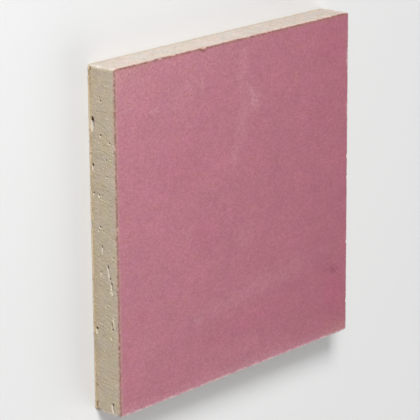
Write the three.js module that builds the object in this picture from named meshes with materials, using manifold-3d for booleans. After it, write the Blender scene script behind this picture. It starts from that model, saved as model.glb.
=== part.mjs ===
// Square piece of fire-rated plasterboard (drywall), cut on all four sides and lying flat.
//
// A gypsum core is sandwiched between two paper liners: a pink one on the face and a tan one on the
// back. The four edges are saw cuts, so the core is bare there and shows the air bubbles that the
// saw opened. Bubbles are drawn out along the sheet as the wet core is rolled, so a cut that runs
// along the sheet opens them lengthwise and a cut across it shows only their round ends.
//
// Millimetres. The origin is the centre of the back face, +Y runs along the sheet and +Z points out
// of the pink face.
import * as THREE from "three";
import { mergeVertices } from "three/addons/utils/BufferGeometryUtils.js";
import Module from "manifold-3d";

const wasm = await Module();
wasm.setup();

// ---- The sheet ----

const WIDTH = 150; // across the sheet, X
const LENGTH = 150; // along the sheet, Y
const BOARD_THICKNESS = 15; // nominal thickness, both liners included
const FACE_LINER = 0.5; // pink paper
const BACK_LINER = 0.5; // tan paper
const CORNER_RADIUS = 0.6; // upright corners rubbed round in handling

const CORE_BOTTOM = BACK_LINER;
const CORE_TOP = BOARD_THICKNESS - FACE_LINER;
const CORE_THICKNESS = CORE_TOP - CORE_BOTTOM;

// ---- Damage to the arrises ----

const CHIP_REACH = { x: 2.4, y: 3.2, z: 3.4 }; // knocked corner at the left foot, from its point

// Nicks torn out of a liner's edge: share of the edge from its start, then width and depth.
const FACE_NICKS = { head: [nick(0.643, 4.4, 0.9)] };
const BACK_NICKS = {
  left: [nick(0.34, 1.6, 0.5), nick(0.805, 7, 0.5), nick(0.9, 1.8, 0.6)],
};

// ---- Air bubbles ----

const BUBBLE_SIDES = 12; // facets round a bubble
const BUBBLE_RINGS = 8; // facets from pole to pole
const BUBBLE_DEPTH = 0.7; // share of a bubble's width that the cut leaves in the core
const BUBBLE_MARGIN = 0.1; // share of the core next to each liner that scattered bubbles leave whole

// Bubbles on the left cut, from the head down: share of the edge from the head, share of the core
// from the back, length along the sheet, width, and how far the long axis rises towards the face on
// its way down, in degrees.
const LEFT_BUBBLES = [
  bubble(0.165, 0.11, 6.5, 2.2, -6),
  bubble(0.19, 0.44, 0.9, 0.8, 0),
  bubble(0.21, 0.81, 1.1, 0.9, -10),
  bubble(0.285, 0.09, 2.6, 1.3, -6),
  bubble(0.36, 0.1, 1.3, 0.8, 0),
  bubble(0.36, 0.35, 1.1, 0.7, -15),
  bubble(0.465, 0.31, 2.2, 1.2, -20),
  bubble(0.52, 0.41, 3.6, 1.1, -5),
  bubble(0.58, 0.66, 6, 1.3, 12),
  bubble(0.587, 0.36, 2.4, 0.9, 0),
  bubble(0.625, 0.77, 5, 1.6, -3),
  bubble(0.73, 0.78, 5, 1.4, 5),
  bubble(0.762, 0.115, 3.4, 1.4, -8),
  bubble(0.773, 0.71, 1.6, 1, 0),
  bubble(0.981, 0.72, 4.2, 1, -2),
];

// Bubbles on the other cuts, spread evenly: how many, and the largest one's length and width.
const SCATTERED_BUBBLES = {
  right: { count: 12, length: 5, width: 1.6 },
  foot: { count: 9, length: 1.5, width: 1.3 },
  head: { count: 6, length: 0.9, width: 0.8 },
};

// ---- Edges ----

// One of the four cut edges, walked counter-clockwise seen from above: the corner it starts from, the
// way it runs and the way it faces.
function edge(start, along, out, length) {
  return { start, along, out, length };
}

const EDGES = {
  foot: edge([-WIDTH / 2, -LENGTH / 2], [1, 0], [0, -1], WIDTH),
  right: edge([WIDTH / 2, -LENGTH / 2], [0, 1], [1, 0], LENGTH),
  head: edge([WIDTH / 2, LENGTH / 2], [-1, 0], [0, 1], WIDTH),
  left: edge([-WIDTH / 2, LENGTH / 2], [0, -1], [-1, 0], LENGTH),
};

// The point on an edge at a distance from its start, set in from the cut by a depth.
function pointOnEdge({ start, along, out }, distance, inset) {
  return new THREE.Vector2(...start)
    .addScaledVector(new THREE.Vector2(...along), distance)
    .addScaledVector(new THREE.Vector2(...out), -inset);
}

function nick(share, width, depth) {
  return { share, width, depth };
}

function bubble(along, across, length, width, lean) {
  return { along, across, length, width, lean };
}

// ---- Layers ----

// Plan of one layer: a rectangle with rubbed corners, and nicks bitten out of its edges.
function planOutline(nicks = {}) {
  const plan = new THREE.Shape();
  for (const [index, [name, side]] of Object.entries(EDGES).entries()) {
    const first = pointOnEdge(side, CORNER_RADIUS, 0);
    const corner = pointOnEdge(side, 0, 0);
    if (index === 0) plan.moveTo(first.x, first.y);
    else plan.quadraticCurveTo(corner.x, corner.y, first.x, first.y);
    for (const { share, width, depth } of nicks[name] ?? []) {
      const middle = share * side.length;
      const from = pointOnEdge(side, middle - width / 2, 0);
      const bottom = pointOnEdge(side, middle, 2 * depth);
      const to = pointOnEdge(side, middle + width / 2, 0);
      plan.lineTo(from.x, from.y);
      plan.quadraticCurveTo(bottom.x, bottom.y, to.x, to.y);
    }
    const last = pointOnEdge(side, side.length - CORNER_RADIUS, 0);
    plan.lineTo(last.x, last.y);
  }
  const home = pointOnEdge(EDGES.foot, CORNER_RADIUS, 0);
  const corner = pointOnEdge(EDGES.foot, 0, 0);
  plan.quadraticCurveTo(corner.x, corner.y, home.x, home.y);
  return plan;
}

// A flat layer of that plan between two heights. The heights are written straight into the vertices,
// so layers that share a height touch face to face.
function layer(plan, bottom, top) {
  const geometry = new THREE.ExtrudeGeometry(plan, { depth: 1, bevelEnabled: false, curveSegments: 6 });
  const position = geometry.getAttribute("position");
  for (let i = 0; i < position.count; i++) position.setZ(i, position.getZ(i) > 0.5 ? top : bottom);
  return geometry;
}

// ---- Cutting ----

function toSolid(geometry) {
  const bare = geometry.clone();
  bare.deleteAttribute("normal");
  bare.deleteAttribute("uv");
  const merged = mergeVertices(bare, 1e-4);
  return new wasm.Manifold(
    new wasm.Mesh({
      numProp: 3,
      vertProperties: merged.getAttribute("position").array,
      triVerts: new Uint32Array(merged.index.array),
    }),
  );
}

function toGeometry(solid) {
  const { vertProperties, triVerts } = solid.getMesh();
  const geometry = new THREE.BufferGeometry();
  geometry.setAttribute("position", new THREE.BufferAttribute(vertProperties, 3));
  geometry.setIndex(new THREE.BufferAttribute(triVerts, 1));
  const faceted = geometry.toNonIndexed();
  faceted.computeVertexNormals();
  return faceted;
}

// Removes each cutter, a closed geometry, from a geometry.
function carve(geometry, cutters) {
  const carved = cutters.reduce((rest, cutter) => rest.subtract(toSolid(cutter)), toSolid(geometry));
  return toGeometry(carved);
}

// A bubble that a cut edge opens: an ellipsoid centred on the cut, long axis along the edge.
function bubbleCutter(side, { along, across, length, width, lean }) {
  const centre = pointOnEdge(side, along * side.length, 0);
  const height = CORE_BOTTOM + across * CORE_THICKNESS;
  const runsAlong = new THREE.Vector3(side.along[0], side.along[1], 0);
  const up = new THREE.Vector3(0, 0, 1);
  const facesOut = new THREE.Vector3(side.out[0], side.out[1], 0);
  const turned = new THREE.Matrix4().makeBasis(runsAlong, up, facesOut);
  return new THREE.SphereGeometry(1, BUBBLE_SIDES, BUBBLE_RINGS)
    .rotateZ(Math.PI / 2)
    .scale(length / 2, width / 2, BUBBLE_DEPTH * width)
    .rotateZ(THREE.MathUtils.degToRad(lean))
    .applyMatrix4(turned)
    .translate(centre.x, centre.y, height);
}

// Spreads bubbles over an edge by the golden ratio and its cousins, so that none line up.
function scatterBubbles({ count, length, width }) {
  const share = (index, step) => (0.5 + index * step) % 1;
  return Array.from({ length: count }, (_, index) => {
    const size = 0.4 + 0.6 * share(index, 0.7549);
    const across = BUBBLE_MARGIN + (1 - 2 * BUBBLE_MARGIN) * share(index, 0.5698);
    const along = (index + 0.5 + 0.6 * (share(index, 0.618) - 0.5)) / count;
    return bubble(along, across, length * size, width * size, 24 * (share(index, 0.437) - 0.5));
  });
}

// The chip knocked off the left foot corner, through the back liner and into the core.
function cornerChip() {
  const { x, y } = pointOnEdge(EDGES.foot, 0, 0);
  return new THREE.IcosahedronGeometry(1, 1)
    .rotateZ(0.4)
    .scale(CHIP_REACH.x, CHIP_REACH.y, CHIP_REACH.z)
    .translate(x, y, 0);
}

// ---- Sub-parts ----

function gypsumCore() {
  const bubbles = Object.entries({
    left: LEFT_BUBBLES,
    right: scatterBubbles(SCATTERED_BUBBLES.right),
    foot: scatterBubbles(SCATTERED_BUBBLES.foot),
    head: scatterBubbles(SCATTERED_BUBBLES.head),
  });
  const cutters = bubbles.flatMap(([name, opened]) => opened.map((one) => bubbleCutter(EDGES[name], one)));
  return carve(layer(planOutline(), CORE_BOTTOM, CORE_TOP), [...cutters, cornerChip()]);
}

function facePaper() {
  return layer(planOutline(FACE_NICKS), CORE_TOP, BOARD_THICKNESS);
}

function backPaper() {
  return carve(layer(planOutline(BACK_NICKS), 0, CORE_BOTTOM), [cornerChip()]);
}

// ---- Assembly ----

function subPart(name, geometry, color, roughness) {
  const material = new THREE.MeshStandardMaterial({ color, roughness, metalness: 0 });
  const mesh = new THREE.Mesh(geometry, material);
  mesh.name = name;
  return mesh;
}

const sheet = new THREE.Group();
sheet.name = "drywall_sheet";
sheet.add(
  subPart("gypsum_core", gypsumCore(), 0xddd2c4, 0.95),
  subPart("face_paper", facePaper(), 0xb87686, 0.8),
  subPart("back_paper", backPaper(), 0xb79a70, 0.85),
);

export default sheet;
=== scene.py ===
"""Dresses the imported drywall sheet: a sawn gypsum core between a pink face liner and a tan back liner.

The board lies flat. +X runs across it, +Y runs along it towards its head, and +Z points out of the pink
face; the origin is the centre of the back face. Sizes here are in millimetres, and a mesh is written in
metres. All three parts of the board are one kind of shape: a profile of rings carried round the board's
plan and closed by a point below and a point above.
"""

import logging
import math
from abc import ABC, abstractmethod
from collections.abc import Callable, Iterable, Iterator, Mapping
from dataclasses import dataclass, field
from enum import Enum
from functools import partialmethod
from operator import attrgetter
from typing import ClassVar

import bpy
import numpy as np
from mathutils import Matrix, Vector


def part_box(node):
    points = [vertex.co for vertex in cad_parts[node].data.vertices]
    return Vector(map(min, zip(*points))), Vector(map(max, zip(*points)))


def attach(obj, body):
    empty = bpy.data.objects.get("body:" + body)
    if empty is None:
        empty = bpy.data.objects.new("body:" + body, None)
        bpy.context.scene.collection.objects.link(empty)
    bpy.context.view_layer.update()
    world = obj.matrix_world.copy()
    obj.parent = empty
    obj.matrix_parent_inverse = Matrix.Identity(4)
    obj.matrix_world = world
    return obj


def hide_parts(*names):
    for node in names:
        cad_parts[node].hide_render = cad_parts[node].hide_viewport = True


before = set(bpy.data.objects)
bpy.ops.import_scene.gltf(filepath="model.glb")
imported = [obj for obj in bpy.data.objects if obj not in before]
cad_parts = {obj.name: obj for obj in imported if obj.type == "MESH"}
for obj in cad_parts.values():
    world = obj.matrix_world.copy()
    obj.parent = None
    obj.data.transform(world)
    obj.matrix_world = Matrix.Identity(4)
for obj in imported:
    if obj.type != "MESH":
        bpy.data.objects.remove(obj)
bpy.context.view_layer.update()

LOG = logging.getLogger("drywall_sheet")
BODY = "root"
MM = 0.001  # metres in a millimetre

Array = np.ndarray
Window = tuple[slice, Array]
Mesh = bpy.types.Mesh
Socket = bpy.types.NodeSocket
Outputs = bpy.types.NodeOutputs
Feed = Socket | float | tuple[float, ...]
Pair = tuple[float, float]
Triple = tuple[float, float, float]
Colour = tuple[int, int, int]  # red, green and blue as a screen shows them, 0 to 255


# ---- The plan of the board ----


class Side(Enum):
    """The four cut edges, in the order in which the plan is walked: counter-clockwise seen from above."""

    FOOT = 0
    RIGHT = 1
    HEAD = 2
    LEFT = 3

    @property
    def along(self) -> Array:
        """The way the edge runs."""
        return np.array(((1.0, 0.0), (0.0, 1.0), (-1.0, 0.0), (0.0, -1.0))[self.value])

    @property
    def out(self) -> Array:
        """The way the edge faces."""
        return self.along[::-1] * (1.0, -1.0)


@dataclass(frozen=True)
class SheetSize:
    """The board's driving sizes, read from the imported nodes."""

    width: float
    length: float
    thickness: float
    core_bottom: float
    core_top: float

    @classmethod
    def from_frame(cls) -> "SheetSize":
        """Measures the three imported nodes.

        Returns:
            The board's sizes in millimetres.
        """
        core_low, core_high = (np.array(corner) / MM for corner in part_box("gypsum_core"))
        face_high = np.array(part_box("face_paper")[1]) / MM
        width, length = (core_high - core_low)[:2]
        return cls(width, length, face_high[2], core_low[2], core_high[2])

    @property
    def half(self) -> Array:
        """Half of the width and half of the length."""
        return np.array((self.width, self.length)) / 2.0

    @property
    def core_thickness(self) -> float:
        """Height of the bare gypsum on a cut."""
        return self.core_top - self.core_bottom

    def core_height(self, share: float) -> float:
        """Height at a share of the core's thickness from the back."""
        return self.core_bottom + share * self.core_thickness


@dataclass
class Outline:
    """The plan of the board as columns of points: a rectangle whose corners are rubbed round."""

    size: SheetSize
    corner_radius: float = 0.6
    edge_columns: tuple[int, int, int, int] = (350, 460, 350, 700)  # foot, right, head and left
    corner_columns: int = 10
    place: Array = field(init=False)  # a point for each column
    out: Array = field(init=False)  # the way the plan faces there
    distance: Array = field(init=False)  # how far along its own edge the column is
    side: Array = field(init=False)  # the value of the column's Side
    travel: Array = field(init=False)  # how far round the whole plan the column is
    girth: float = field(init=False)  # once round the plan

    def __post_init__(self) -> None:
        """Lays the columns out, one edge and the corner after it at a time."""
        stretches = [self._stretch(side) for side in Side]
        self.place, self.out, self.distance, self.side = (np.concatenate(part) for part in zip(*stretches))
        steps = np.linalg.norm(np.roll(self.place, -1, axis=0) - self.place, axis=1)
        self.travel = np.cumsum(steps) - steps
        self.girth = float(steps.sum())

    def edge_length(self, side: Side) -> float:
        """Length of an edge from corner to corner."""
        return self.size.length if side in (Side.LEFT, Side.RIGHT) else self.size.width

    def corner(self, side: Side) -> Array:
        """The sharp corner that an edge starts from."""
        return (side.out - side.along) * self.size.half

    def corner_distance(self) -> Array:
        """How far each column is from the nearest sharp corner, as the larger of its two insets."""
        return (self.size.half - np.abs(self.place)).max(axis=1)

    def to_corner(self) -> Array:
        """The way from the middle of the board to the corner nearest each column."""
        return np.sign(self.place) / math.sqrt(2.0)

    def _stretch(self, side: Side) -> tuple[Array, Array, Array, Array]:
        """Lays out one edge and its end corner.

        The corner is a quadratic curve, (1-s)^2 first + 2s(1-s) corner + s^2 last, with the sharp corner
        as its handle, and faces at right angles to its own run.

        Args:
            side: The edge.

        Returns:
            Place, facing, distance along the edge and side of each column.
        """
        length, radius = self.edge_length(side), self.corner_radius
        start = self.corner(side)
        run = np.linspace(radius, length - radius, self.edge_columns[side.value], endpoint=False)
        straight = start + run[:, None] * side.along
        share = np.linspace(0.0, 1.0, self.corner_columns, endpoint=False)[:, None]
        handle = start + length * side.along
        first, last = handle - radius * side.along, handle - radius * side.out
        bend = (1 - share) ** 2 * first + 2 * share * (1 - share) * handle + share**2 * last
        run_bend = (1 - share) * (handle - first) + share * (last - handle)
        run_bend /= np.linalg.norm(run_bend, axis=1, keepdims=True)
        facing = np.stack((run_bend[:, 1], -run_bend[:, 0]), axis=1)
        place = np.concatenate((straight, bend))
        out = np.concatenate((np.broadcast_to(side.out, straight.shape), facing))
        distance = np.concatenate((run, length - radius + radius * share[:, 0]))
        return place, out, distance, np.full(len(place), side.value)

    def ring(self, edge: Array, height: float | Array, inset: float = 0.0) -> Array:
        """One ring of points at a height: an edge's plan points, drawn in by a share of the way."""
        flat = edge * (1.0 - inset)
        return np.column_stack((flat, np.broadcast_to(height, len(flat))))


# ---- Curves and noise ----

LATTICE_ROWS = 256
NOISE_GAIN = 1.5  # gradient noise peaks at 0.7, and this brings it to about 1


def blend(share: Array) -> Array:
    """Goes from 0 to 1 with no kink at either end: 6s^5 - 15s^4 + 10s^3."""
    return share**3 * (share * (share * 6.0 - 15.0) + 10.0)


def step_up(value: Array, low: float, high: float) -> Array:
    """0 under low, 1 over high and a smooth blend between them."""
    return blend(np.clip((value - low) / (high - low), 0.0, 1.0))


def bell(off: Array, reach: float) -> Array:
    """A bell curve, 1 in its middle: exp(-(off / reach)^2)."""
    return np.exp(-((off / reach) ** 2))


def ripple(seed: int, travel: Array, height: Array, cell: Pair, girth: float) -> Array:
    """Gradient noise that joins up with itself once round the board.

    Each corner of a lattice leans its own way; the noise is the four leans times the distances to their
    corners, blended over the cell.

    Args:
        seed: Picks the leans.
        travel: Distance round the board.
        height: Height on the cut, or any second measure.
        cell: Size of a lattice cell along and up.
        girth: Once round the board.

    Returns:
        Values from about -1 to 1.
    """
    columns = max(1, round(girth / cell[0]))
    lean = np.random.default_rng(seed).uniform(0.0, 2.0 * math.pi, (columns, LATTICE_ROWS))
    across, up = np.broadcast_arrays(travel * (columns / girth), height / cell[1])
    column, row = np.floor(across).astype(int), np.floor(up).astype(int)
    over, above = across - column, up - row
    total = np.zeros(across.shape)
    for i, weight_over in enumerate((1.0 - blend(over), blend(over))):
        for j, weight_above in enumerate((1.0 - blend(above), blend(above))):
            angle = lean[(column + i) % columns, (row + j) % LATTICE_ROWS]
            pull = np.cos(angle) * (over - i) + np.sin(angle) * (above - j)
            total += pull * weight_over * weight_above
    return total * NOISE_GAIN


@dataclass(frozen=True)
class Roughness:
    """Layered noise round the board: each layer is half the size and half the height of the last."""

    seed: int
    cell: Pair
    height: float
    layers: int = 2

    def over(self, outline: Outline, height: Array | float, slide: Array | float = 0.0) -> Array:
        """Works the noise out: the sum of 0.5^k times a ripple whose cell is 0.5^k of the first.

        Args:
            outline: The plan.
            height: Height of each point, or any second measure.
            slide: How far each point lies past its column.

        Returns:
            The noise at each point.
        """
        travel, total = outline.travel + slide, 0.0
        for k in range(self.layers):
            cell = (self.cell[0] / 2**k, self.cell[1] / 2**k)
            total = total + 0.5**k * ripple(self.seed + k, travel, height, cell, outline.girth)
        return self.height * total


# ---- What the saw and handling left on the edges ----


def own_places(over: Array, up: Array, lean: float, length: float, width: float) -> tuple[Array, Array]:
    """Places along and across a leaning form, over its half length and half width.

    Args:
        over: Distance along the edge from the form's middle.
        up: Height above its middle.
        lean: Degrees that its long axis rises along the edge.
        length: Its length.
        width: Its width.

    Returns:
        The places along it and across it, 1 at its ends and sides.
    """
    turn = math.radians(lean)
    along = (over * math.cos(turn) + up * math.sin(turn)) / (length / 2.0)
    return along, (up * math.cos(turn) - over * math.sin(turn)) / (width / 2.0)


@dataclass(frozen=True)
class Bubble:
    """An air bubble that a cut opened: a shallow trough along the edge with a deep throat at its near end."""

    along: float  # share of the edge from its start
    across: float  # share of the core from the back
    length: float
    width: float
    lean: float = 0.0  # degrees that the long axis rises along the edge
    trough: float = 0.55  # depth over width
    throat: float = 0.9  # how much of a throat it has, from 0 to 1
    taper: float = 0.0  # how much slimmer the far end is than the near one
    throat_depth = 0.5  # what a whole throat adds, over the width
    throat_reach = 0.12  # of its bell curve along a very long bubble
    throat_roundness = 0.64  # what width over length adds to that
    throat_most = 0.6  # and the largest it can be
    throat_inset = 1.1  # of its middle from the end, in its own reach
    throat_rise = 0.1  # of its middle over the long axis
    throat_width = 0.6  # reach of its bell curve across
    rim = 4.0  # how soon behind the rim the throat may start
    end_skew = 0.35  # how much deeper the near end is
    side_skew = 0.5  # how much deeper the upper side is
    gathering = 0.3  # how near to the rim points come, over where they were

    def _share(self, over: Array, up: Array) -> tuple[Array, Array]:
        """Places along and across the bubble, over its half length and its half width as it tapers."""
        a, b = own_places(over, up, self.lean, self.length, self.width)
        return a, b * (1.0 + self.taper * np.clip(a, -1.0, 1.0))

    def sunk(self, over: Array, up: Array) -> tuple[Array, Array]:
        """How far the bubble's wall lies behind the cut.

        With a and b the places along and across it over its half length and half width, the trough is
        width * trough * (1 - end_skew a) * (1 + side_skew b) * sqrt(1 - a^2 - b^2), and the throat adds
        a bell curve near the end where a = -1, about as long as the bubble is wide.

        Args:
            over: Distance along the edge from its middle.
            up: Height above its middle.

        Returns:
            The depth, 0 outside the bubble, and how much of the end with the throat it is, from 0 to 1.
        """
        a, b = self._share(over, up)
        sphere = np.sqrt(np.clip(1.0 - a**2 - b**2, 0.0, None))
        reach = min(self.throat_reach + self.throat_roundness * self.width / self.length, self.throat_most)
        end = self.throat * bell(a + 1.0 - self.throat_inset * reach, reach)
        inside = np.clip(self.rim * sphere, 0.0, 1.0)
        hole = end * bell(b - self.throat_rise, self.throat_width) * inside
        skew = (1.0 - self.end_skew * np.clip(a, -1.0, 1.0)) * (1.0 + self.side_skew * np.clip(b, -1.0, 1.0))
        return self.width * (self.trough * sphere * skew + self.throat_depth * hole), end * inside

    def gathered(self, over: Array, up: Array) -> tuple[Array, Array]:
        """Draws points towards the rim, so that a mesh follows it.

        With r the distance from the middle over the rim's, r = 1 + t becomes 1 + t (g + (1 - g) |t|), so
        the middle and twice the rim stay.

        Args:
            over: Distance along the edge from its middle.
            up: Height above its middle.

        Returns:
            How far each point moves along the edge and up.
        """
        far = np.hypot(*self._share(over, up))
        past = np.clip(far - 1.0, -1.0, 1.0)
        moved = 1.0 + past * (self.gathering + (1.0 - self.gathering) * np.abs(past))
        scale = np.where(far < 2.0, moved / np.maximum(far, 1e-6), 1.0) - 1.0
        return over * scale, up * scale


@dataclass(frozen=True)
class Burr:
    """A crumb that the saw raised on a cut and left standing, long along the edge."""

    along: float  # share of the edge from its start
    across: float  # share of the core from the back
    length: float
    width: float
    height: float  # less than 0 for a groove beside one
    lean: float = 0.0  # degrees that it rises along the edge

    def raised(self, over: Array, up: Array) -> Array:
        """How far the burr stands out: height * (1 - a^2)^2 * (1 - b^2)^2 in its own half sizes."""
        a, b = own_places(over, up, self.lean, self.length, self.width)
        return self.height * np.clip(1.0 - a**2, 0.0, None) ** 2 * np.clip(1.0 - b**2, 0.0, None) ** 2


@dataclass(frozen=True)
class Nick:
    """A bite out of a liner's edge."""

    share: float  # of the edge from its start
    width: float
    depth: float

    def bite(self, distance: Array, length: float) -> Array:
        """Depth of the bite along the edge: a parabola, depth * (1 - (2d / width)^2)."""
        off = (distance - self.share * length) / (self.width / 2.0)
        return self.depth * np.clip(1.0 - off**2, 0.0, None)


@dataclass(frozen=True)
class PaperEdge:
    """How one edge of a liner was left."""

    fray: float  # how ragged it is
    nicks: tuple[Nick, ...] = ()


@dataclass(frozen=True)
class Chip:
    """A knocked-off corner: what a rough ellipsoid on the corner's upright edge would take away."""

    reach: Triple = (1.7, 1.35, 2.0)
    height: float = 2.3  # of the ellipsoid's middle
    side: Side = Side.FOOT  # the chip is where this edge starts
    rough = Roughness(seed=71, cell=(0.8, 0.8), height=0.24)

    def knock(self, points: Array, outline: Outline) -> Array:
        """Moves what lies inside the ellipsoid inwards, along the corner's diagonal, to its far wall.

        With q the place and e the diagonal, both over the reach, the far wall is at the distance
        t = (-q.e + sqrt((q.e)^2 - e.e (q.q - 1))) / e.e.

        Args:
            points: Points of the surface, the last axis being x, y and z.
            outline: The plan that they are columns of.

        Returns:
            The points, moved where the chip reaches.
        """
        corner = np.append(outline.corner(self.side), self.height)
        diagonal = np.append(-np.sign(corner[:2]), 0.0) / math.sqrt(2.0)
        place, pull = (points - corner) / self.reach, diagonal / self.reach
        lean, steep, inside = place @ pull, pull @ pull, 1.0 - (place**2).sum(axis=-1)
        travel = (-lean + np.sqrt(np.clip(lean**2 + steep * inside, 0.0, None))) / steep
        travel = np.where(inside > 0.0, travel, 0.0)
        travel = travel * (1.0 + self.rough.over(outline, points[..., 2]))
        return points + travel[..., None] * diagonal


@dataclass(frozen=True)
class SawnCut:
    """How one edge was left."""

    roughness: float  # share of the core's full grain
    pits: int  # small pits along it
    crumble: float  # depth of the groove where the core broke away beside the face liner
    face: PaperEdge
    back: PaperEdge
    drag: tuple[Pair, ...]  # share of the edge, and how high the saw dragged the back liner
    bubbles: tuple[Bubble, ...]
    pit_stretch: float = 1.0  # length over width of a pit
    burrs: tuple[Burr, ...] = ()


@dataclass(frozen=True)
class Scatter:
    """Bubbles spread along an edge by the golden ratio and its cousins, so that none line up."""

    count: int
    length: float  # of the largest
    width: float
    stray = 0.6  # how far each may be from its even place, over the gap
    margin = 0.1  # share of the core beside each liner that they leave whole
    smallest = 0.4  # over the largest
    lean = 24.0  # degrees from the least to the most
    taper = 0.6

    steps = (0.7549, 0.5698, 0.618, 0.437, 0.331)  # for size, height, place, lean and taper

    def bubbles(self) -> tuple[Bubble, ...]:
        """Spreads them by shares that look like chance: 0.5 plus steps, less the whole part.

        Returns:
            The bubbles.
        """
        index = np.arange(self.count)
        size, across, along, lean, taper = ((0.5 + index * step) % 1.0 for step in self.steps)
        size = self.smallest + (1.0 - self.smallest) * size
        along = (index + 0.5 + self.stray * (along - 0.5)) / self.count
        across = self.margin + (1.0 - 2.0 * self.margin) * across
        lean, taper = self.lean * (lean - 0.5), self.taper * (taper - 0.5)
        rows = zip(along, across, self.length * size, self.width * size, lean)
        return tuple(Bubble(*row, taper=slimmer) for row, slimmer in zip(rows, taper))


LEFT_BUBBLES = (  # along, across, length, width, lean, trough, throat and taper
    (0.1653, 0.1, 7, 2.2, -3, 0.5, 1, 0.05),
    (0.163, 0.137, 3, 1.5, -8, 0.7, 1),
    (0.1927, 0.436, 1.4, 1.1, 0, 0.5, 1),
    (0.21, 0.793, 1.5, 1.05, 10, 0.5, 0.8),
    (0.2853, 0.096, 3.1, 1.4, -6, 0.55, 1),
    (0.3613, 0.104, 1.8, 1.1, -20, 0.5, 0.9),
    (0.364, 0.321, 1.6, 1.2, -15, 0.45, 0.4),
    (0.4547, 0.338, 1.3, 1.3, -14, 0.32, 0.9),
    (0.4647, 0.279, 1.5, 1.3, -14, 0.32, 0.45),
    (0.4667, 0.543, 0.9, 0.75, -10, 0.4, 0.9),
    (0.5187, 0.414, 4.2, 1, 2, 0.35, 1),
    (0.5793, 0.661, 6.4, 1.4, 10, 0.4, 0.8, -0.35),
    (0.5637, 0.629, 1.5, 1, 25, 0.6, 1),
    (0.599, 0.705, 1.4, 1, 0, 0.6, 1),
    (0.6247, 0.762, 5.8, 1.3, 6, 0.6, 0.6, -0.25),
    (0.6123, 0.762, 1.7, 1, 22, 0.5, 1),
    (0.588, 0.343, 2.4, 0.95, 0, 0.35, 0.65),
    (0.6333, 0.907, 0.9, 0.9, 0, 0.4, 0),
    (0.7583, 0.114, 3.3, 1.4, -5, 0.55, 0.8),
    (0.7523, 0.126, 1.5, 1.15, 15, 0.45, 1),
    (0.7713, 0.724, 2.1, 0.85, 28, 0.5, 0.3),
    (0.7467, 0.758, 1.3, 0.8, 0, 0.35, 1),
    (0.9807, 0.707, 4, 1.25, 12, 0.6, 0.3, -0.1),
    (0.9683, 0.726, 1.7, 1.25, 20, 0.85, 1),
    (0.096, 0.453, 1.6, 1.1, 20, 0.5, 0.6),
    (0.086, 0.4, 0.9, 0.8, -20, 0.5, 0.6),
    (0.0867, 0.521, 0.9, 0.7, 30, 0.5, 0.6),
    (0.092, 0.35, 0.8, 0.6, 0, 0.5, 0.3),
    (0.07, 0.757, 1.1, 0.7, 10, 0.5, 0.2),
    (0.1387, 0.75, 0.9, 0.8, 0, 0.4, 0.7),
    (0.2593, 0.636, 1.2, 0.9, -10, 0.25, 1),
    (0.2367, 0.974, 1.3, 1, 0, 0.5, 1),
    (0.2547, 0.807, 0.8, 0.7, 0, 0.5, 0.4),
    (0.3067, 0.636, 1.3, 1, -10, 0.5, 0.6),
    (0.306, 0.736, 0.9, 0.8, 0, 0.4, 0.7),
    (0.5353, 0.857, 1, 1.2, 0, 0.2, 1),
    (0.902, 0.95, 0.9, 0.9, 0, 0.4, 0.2),
    (0.8133, 0.407, 2.6, 0.6, 10, 0.3, 0),
    (0.7293, 0.329, 0.9, 0.8, 0, 0.3, 0),
    (0.7353, 0.236, 0.9, 0.7, 0, 0.3, 0),
)

CUTS: dict[Side, SawnCut] = {
    Side.FOOT: SawnCut(
        roughness=0.75,
        pits=110,
        crumble=0.16,
        face=PaperEdge(2.4),
        back=PaperEdge(1.2),
        drag=((0, 2.2), (0.1, 0.9), (0.6, 1.3), (1, 0.8)),
        bubbles=Scatter(9, 1.5, 1.3).bubbles(),
    ),
    Side.RIGHT: SawnCut(
        roughness=1.0,
        pits=130,
        pit_stretch=1.7,
        crumble=0.2,
        face=PaperEdge(1.5),
        back=PaperEdge(1.5),
        drag=((0, 0.9), (0.35, 1.6), (0.5, 0.8), (1, 1.4)),
        bubbles=Scatter(12, 5.0, 1.6).bubbles(),
    ),
    Side.HEAD: SawnCut(
        roughness=0.25,
        pits=60,
        crumble=0.14,
        face=PaperEdge(3.4, (Nick(0.643, 4.4, 0.9),)),
        back=PaperEdge(1.0),
        drag=((0, 0.6), (0.5, 0.5), (1, 0.9)),
        bubbles=Scatter(6, 0.9, 0.8).bubbles(),
    ),
    Side.LEFT: SawnCut(
        roughness=0.9,
        pits=45,
        pit_stretch=1.7,
        crumble=0.18,
        face=PaperEdge(1.2),
        back=PaperEdge(1.1, (Nick(0.344, 1.6, 0.5), Nick(0.805, 7, 0.3), Nick(0.9, 1.4, 0.15))),
        drag=(
            (0, 2.2), (0.15, 2), (0.19, 1.3), (0.83, 1.3),
            (0.87, 1.9), (0.965, 2.4), (0.99, 2.3), (0.997, 0.6),
        ),
        bubbles=tuple(Bubble(*row) for row in LEFT_BUBBLES),
        burrs=(
            Burr(0.7187, 0.796, 3.0, 1.1, 0.65, 8.0),
            Burr(0.734, 0.83, 4.4, 1.0, 0.45, 9.0),
            Burr(0.7287, 0.747, 7.0, 0.9, -0.75, 4.0),
        ),
    ),
}


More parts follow.
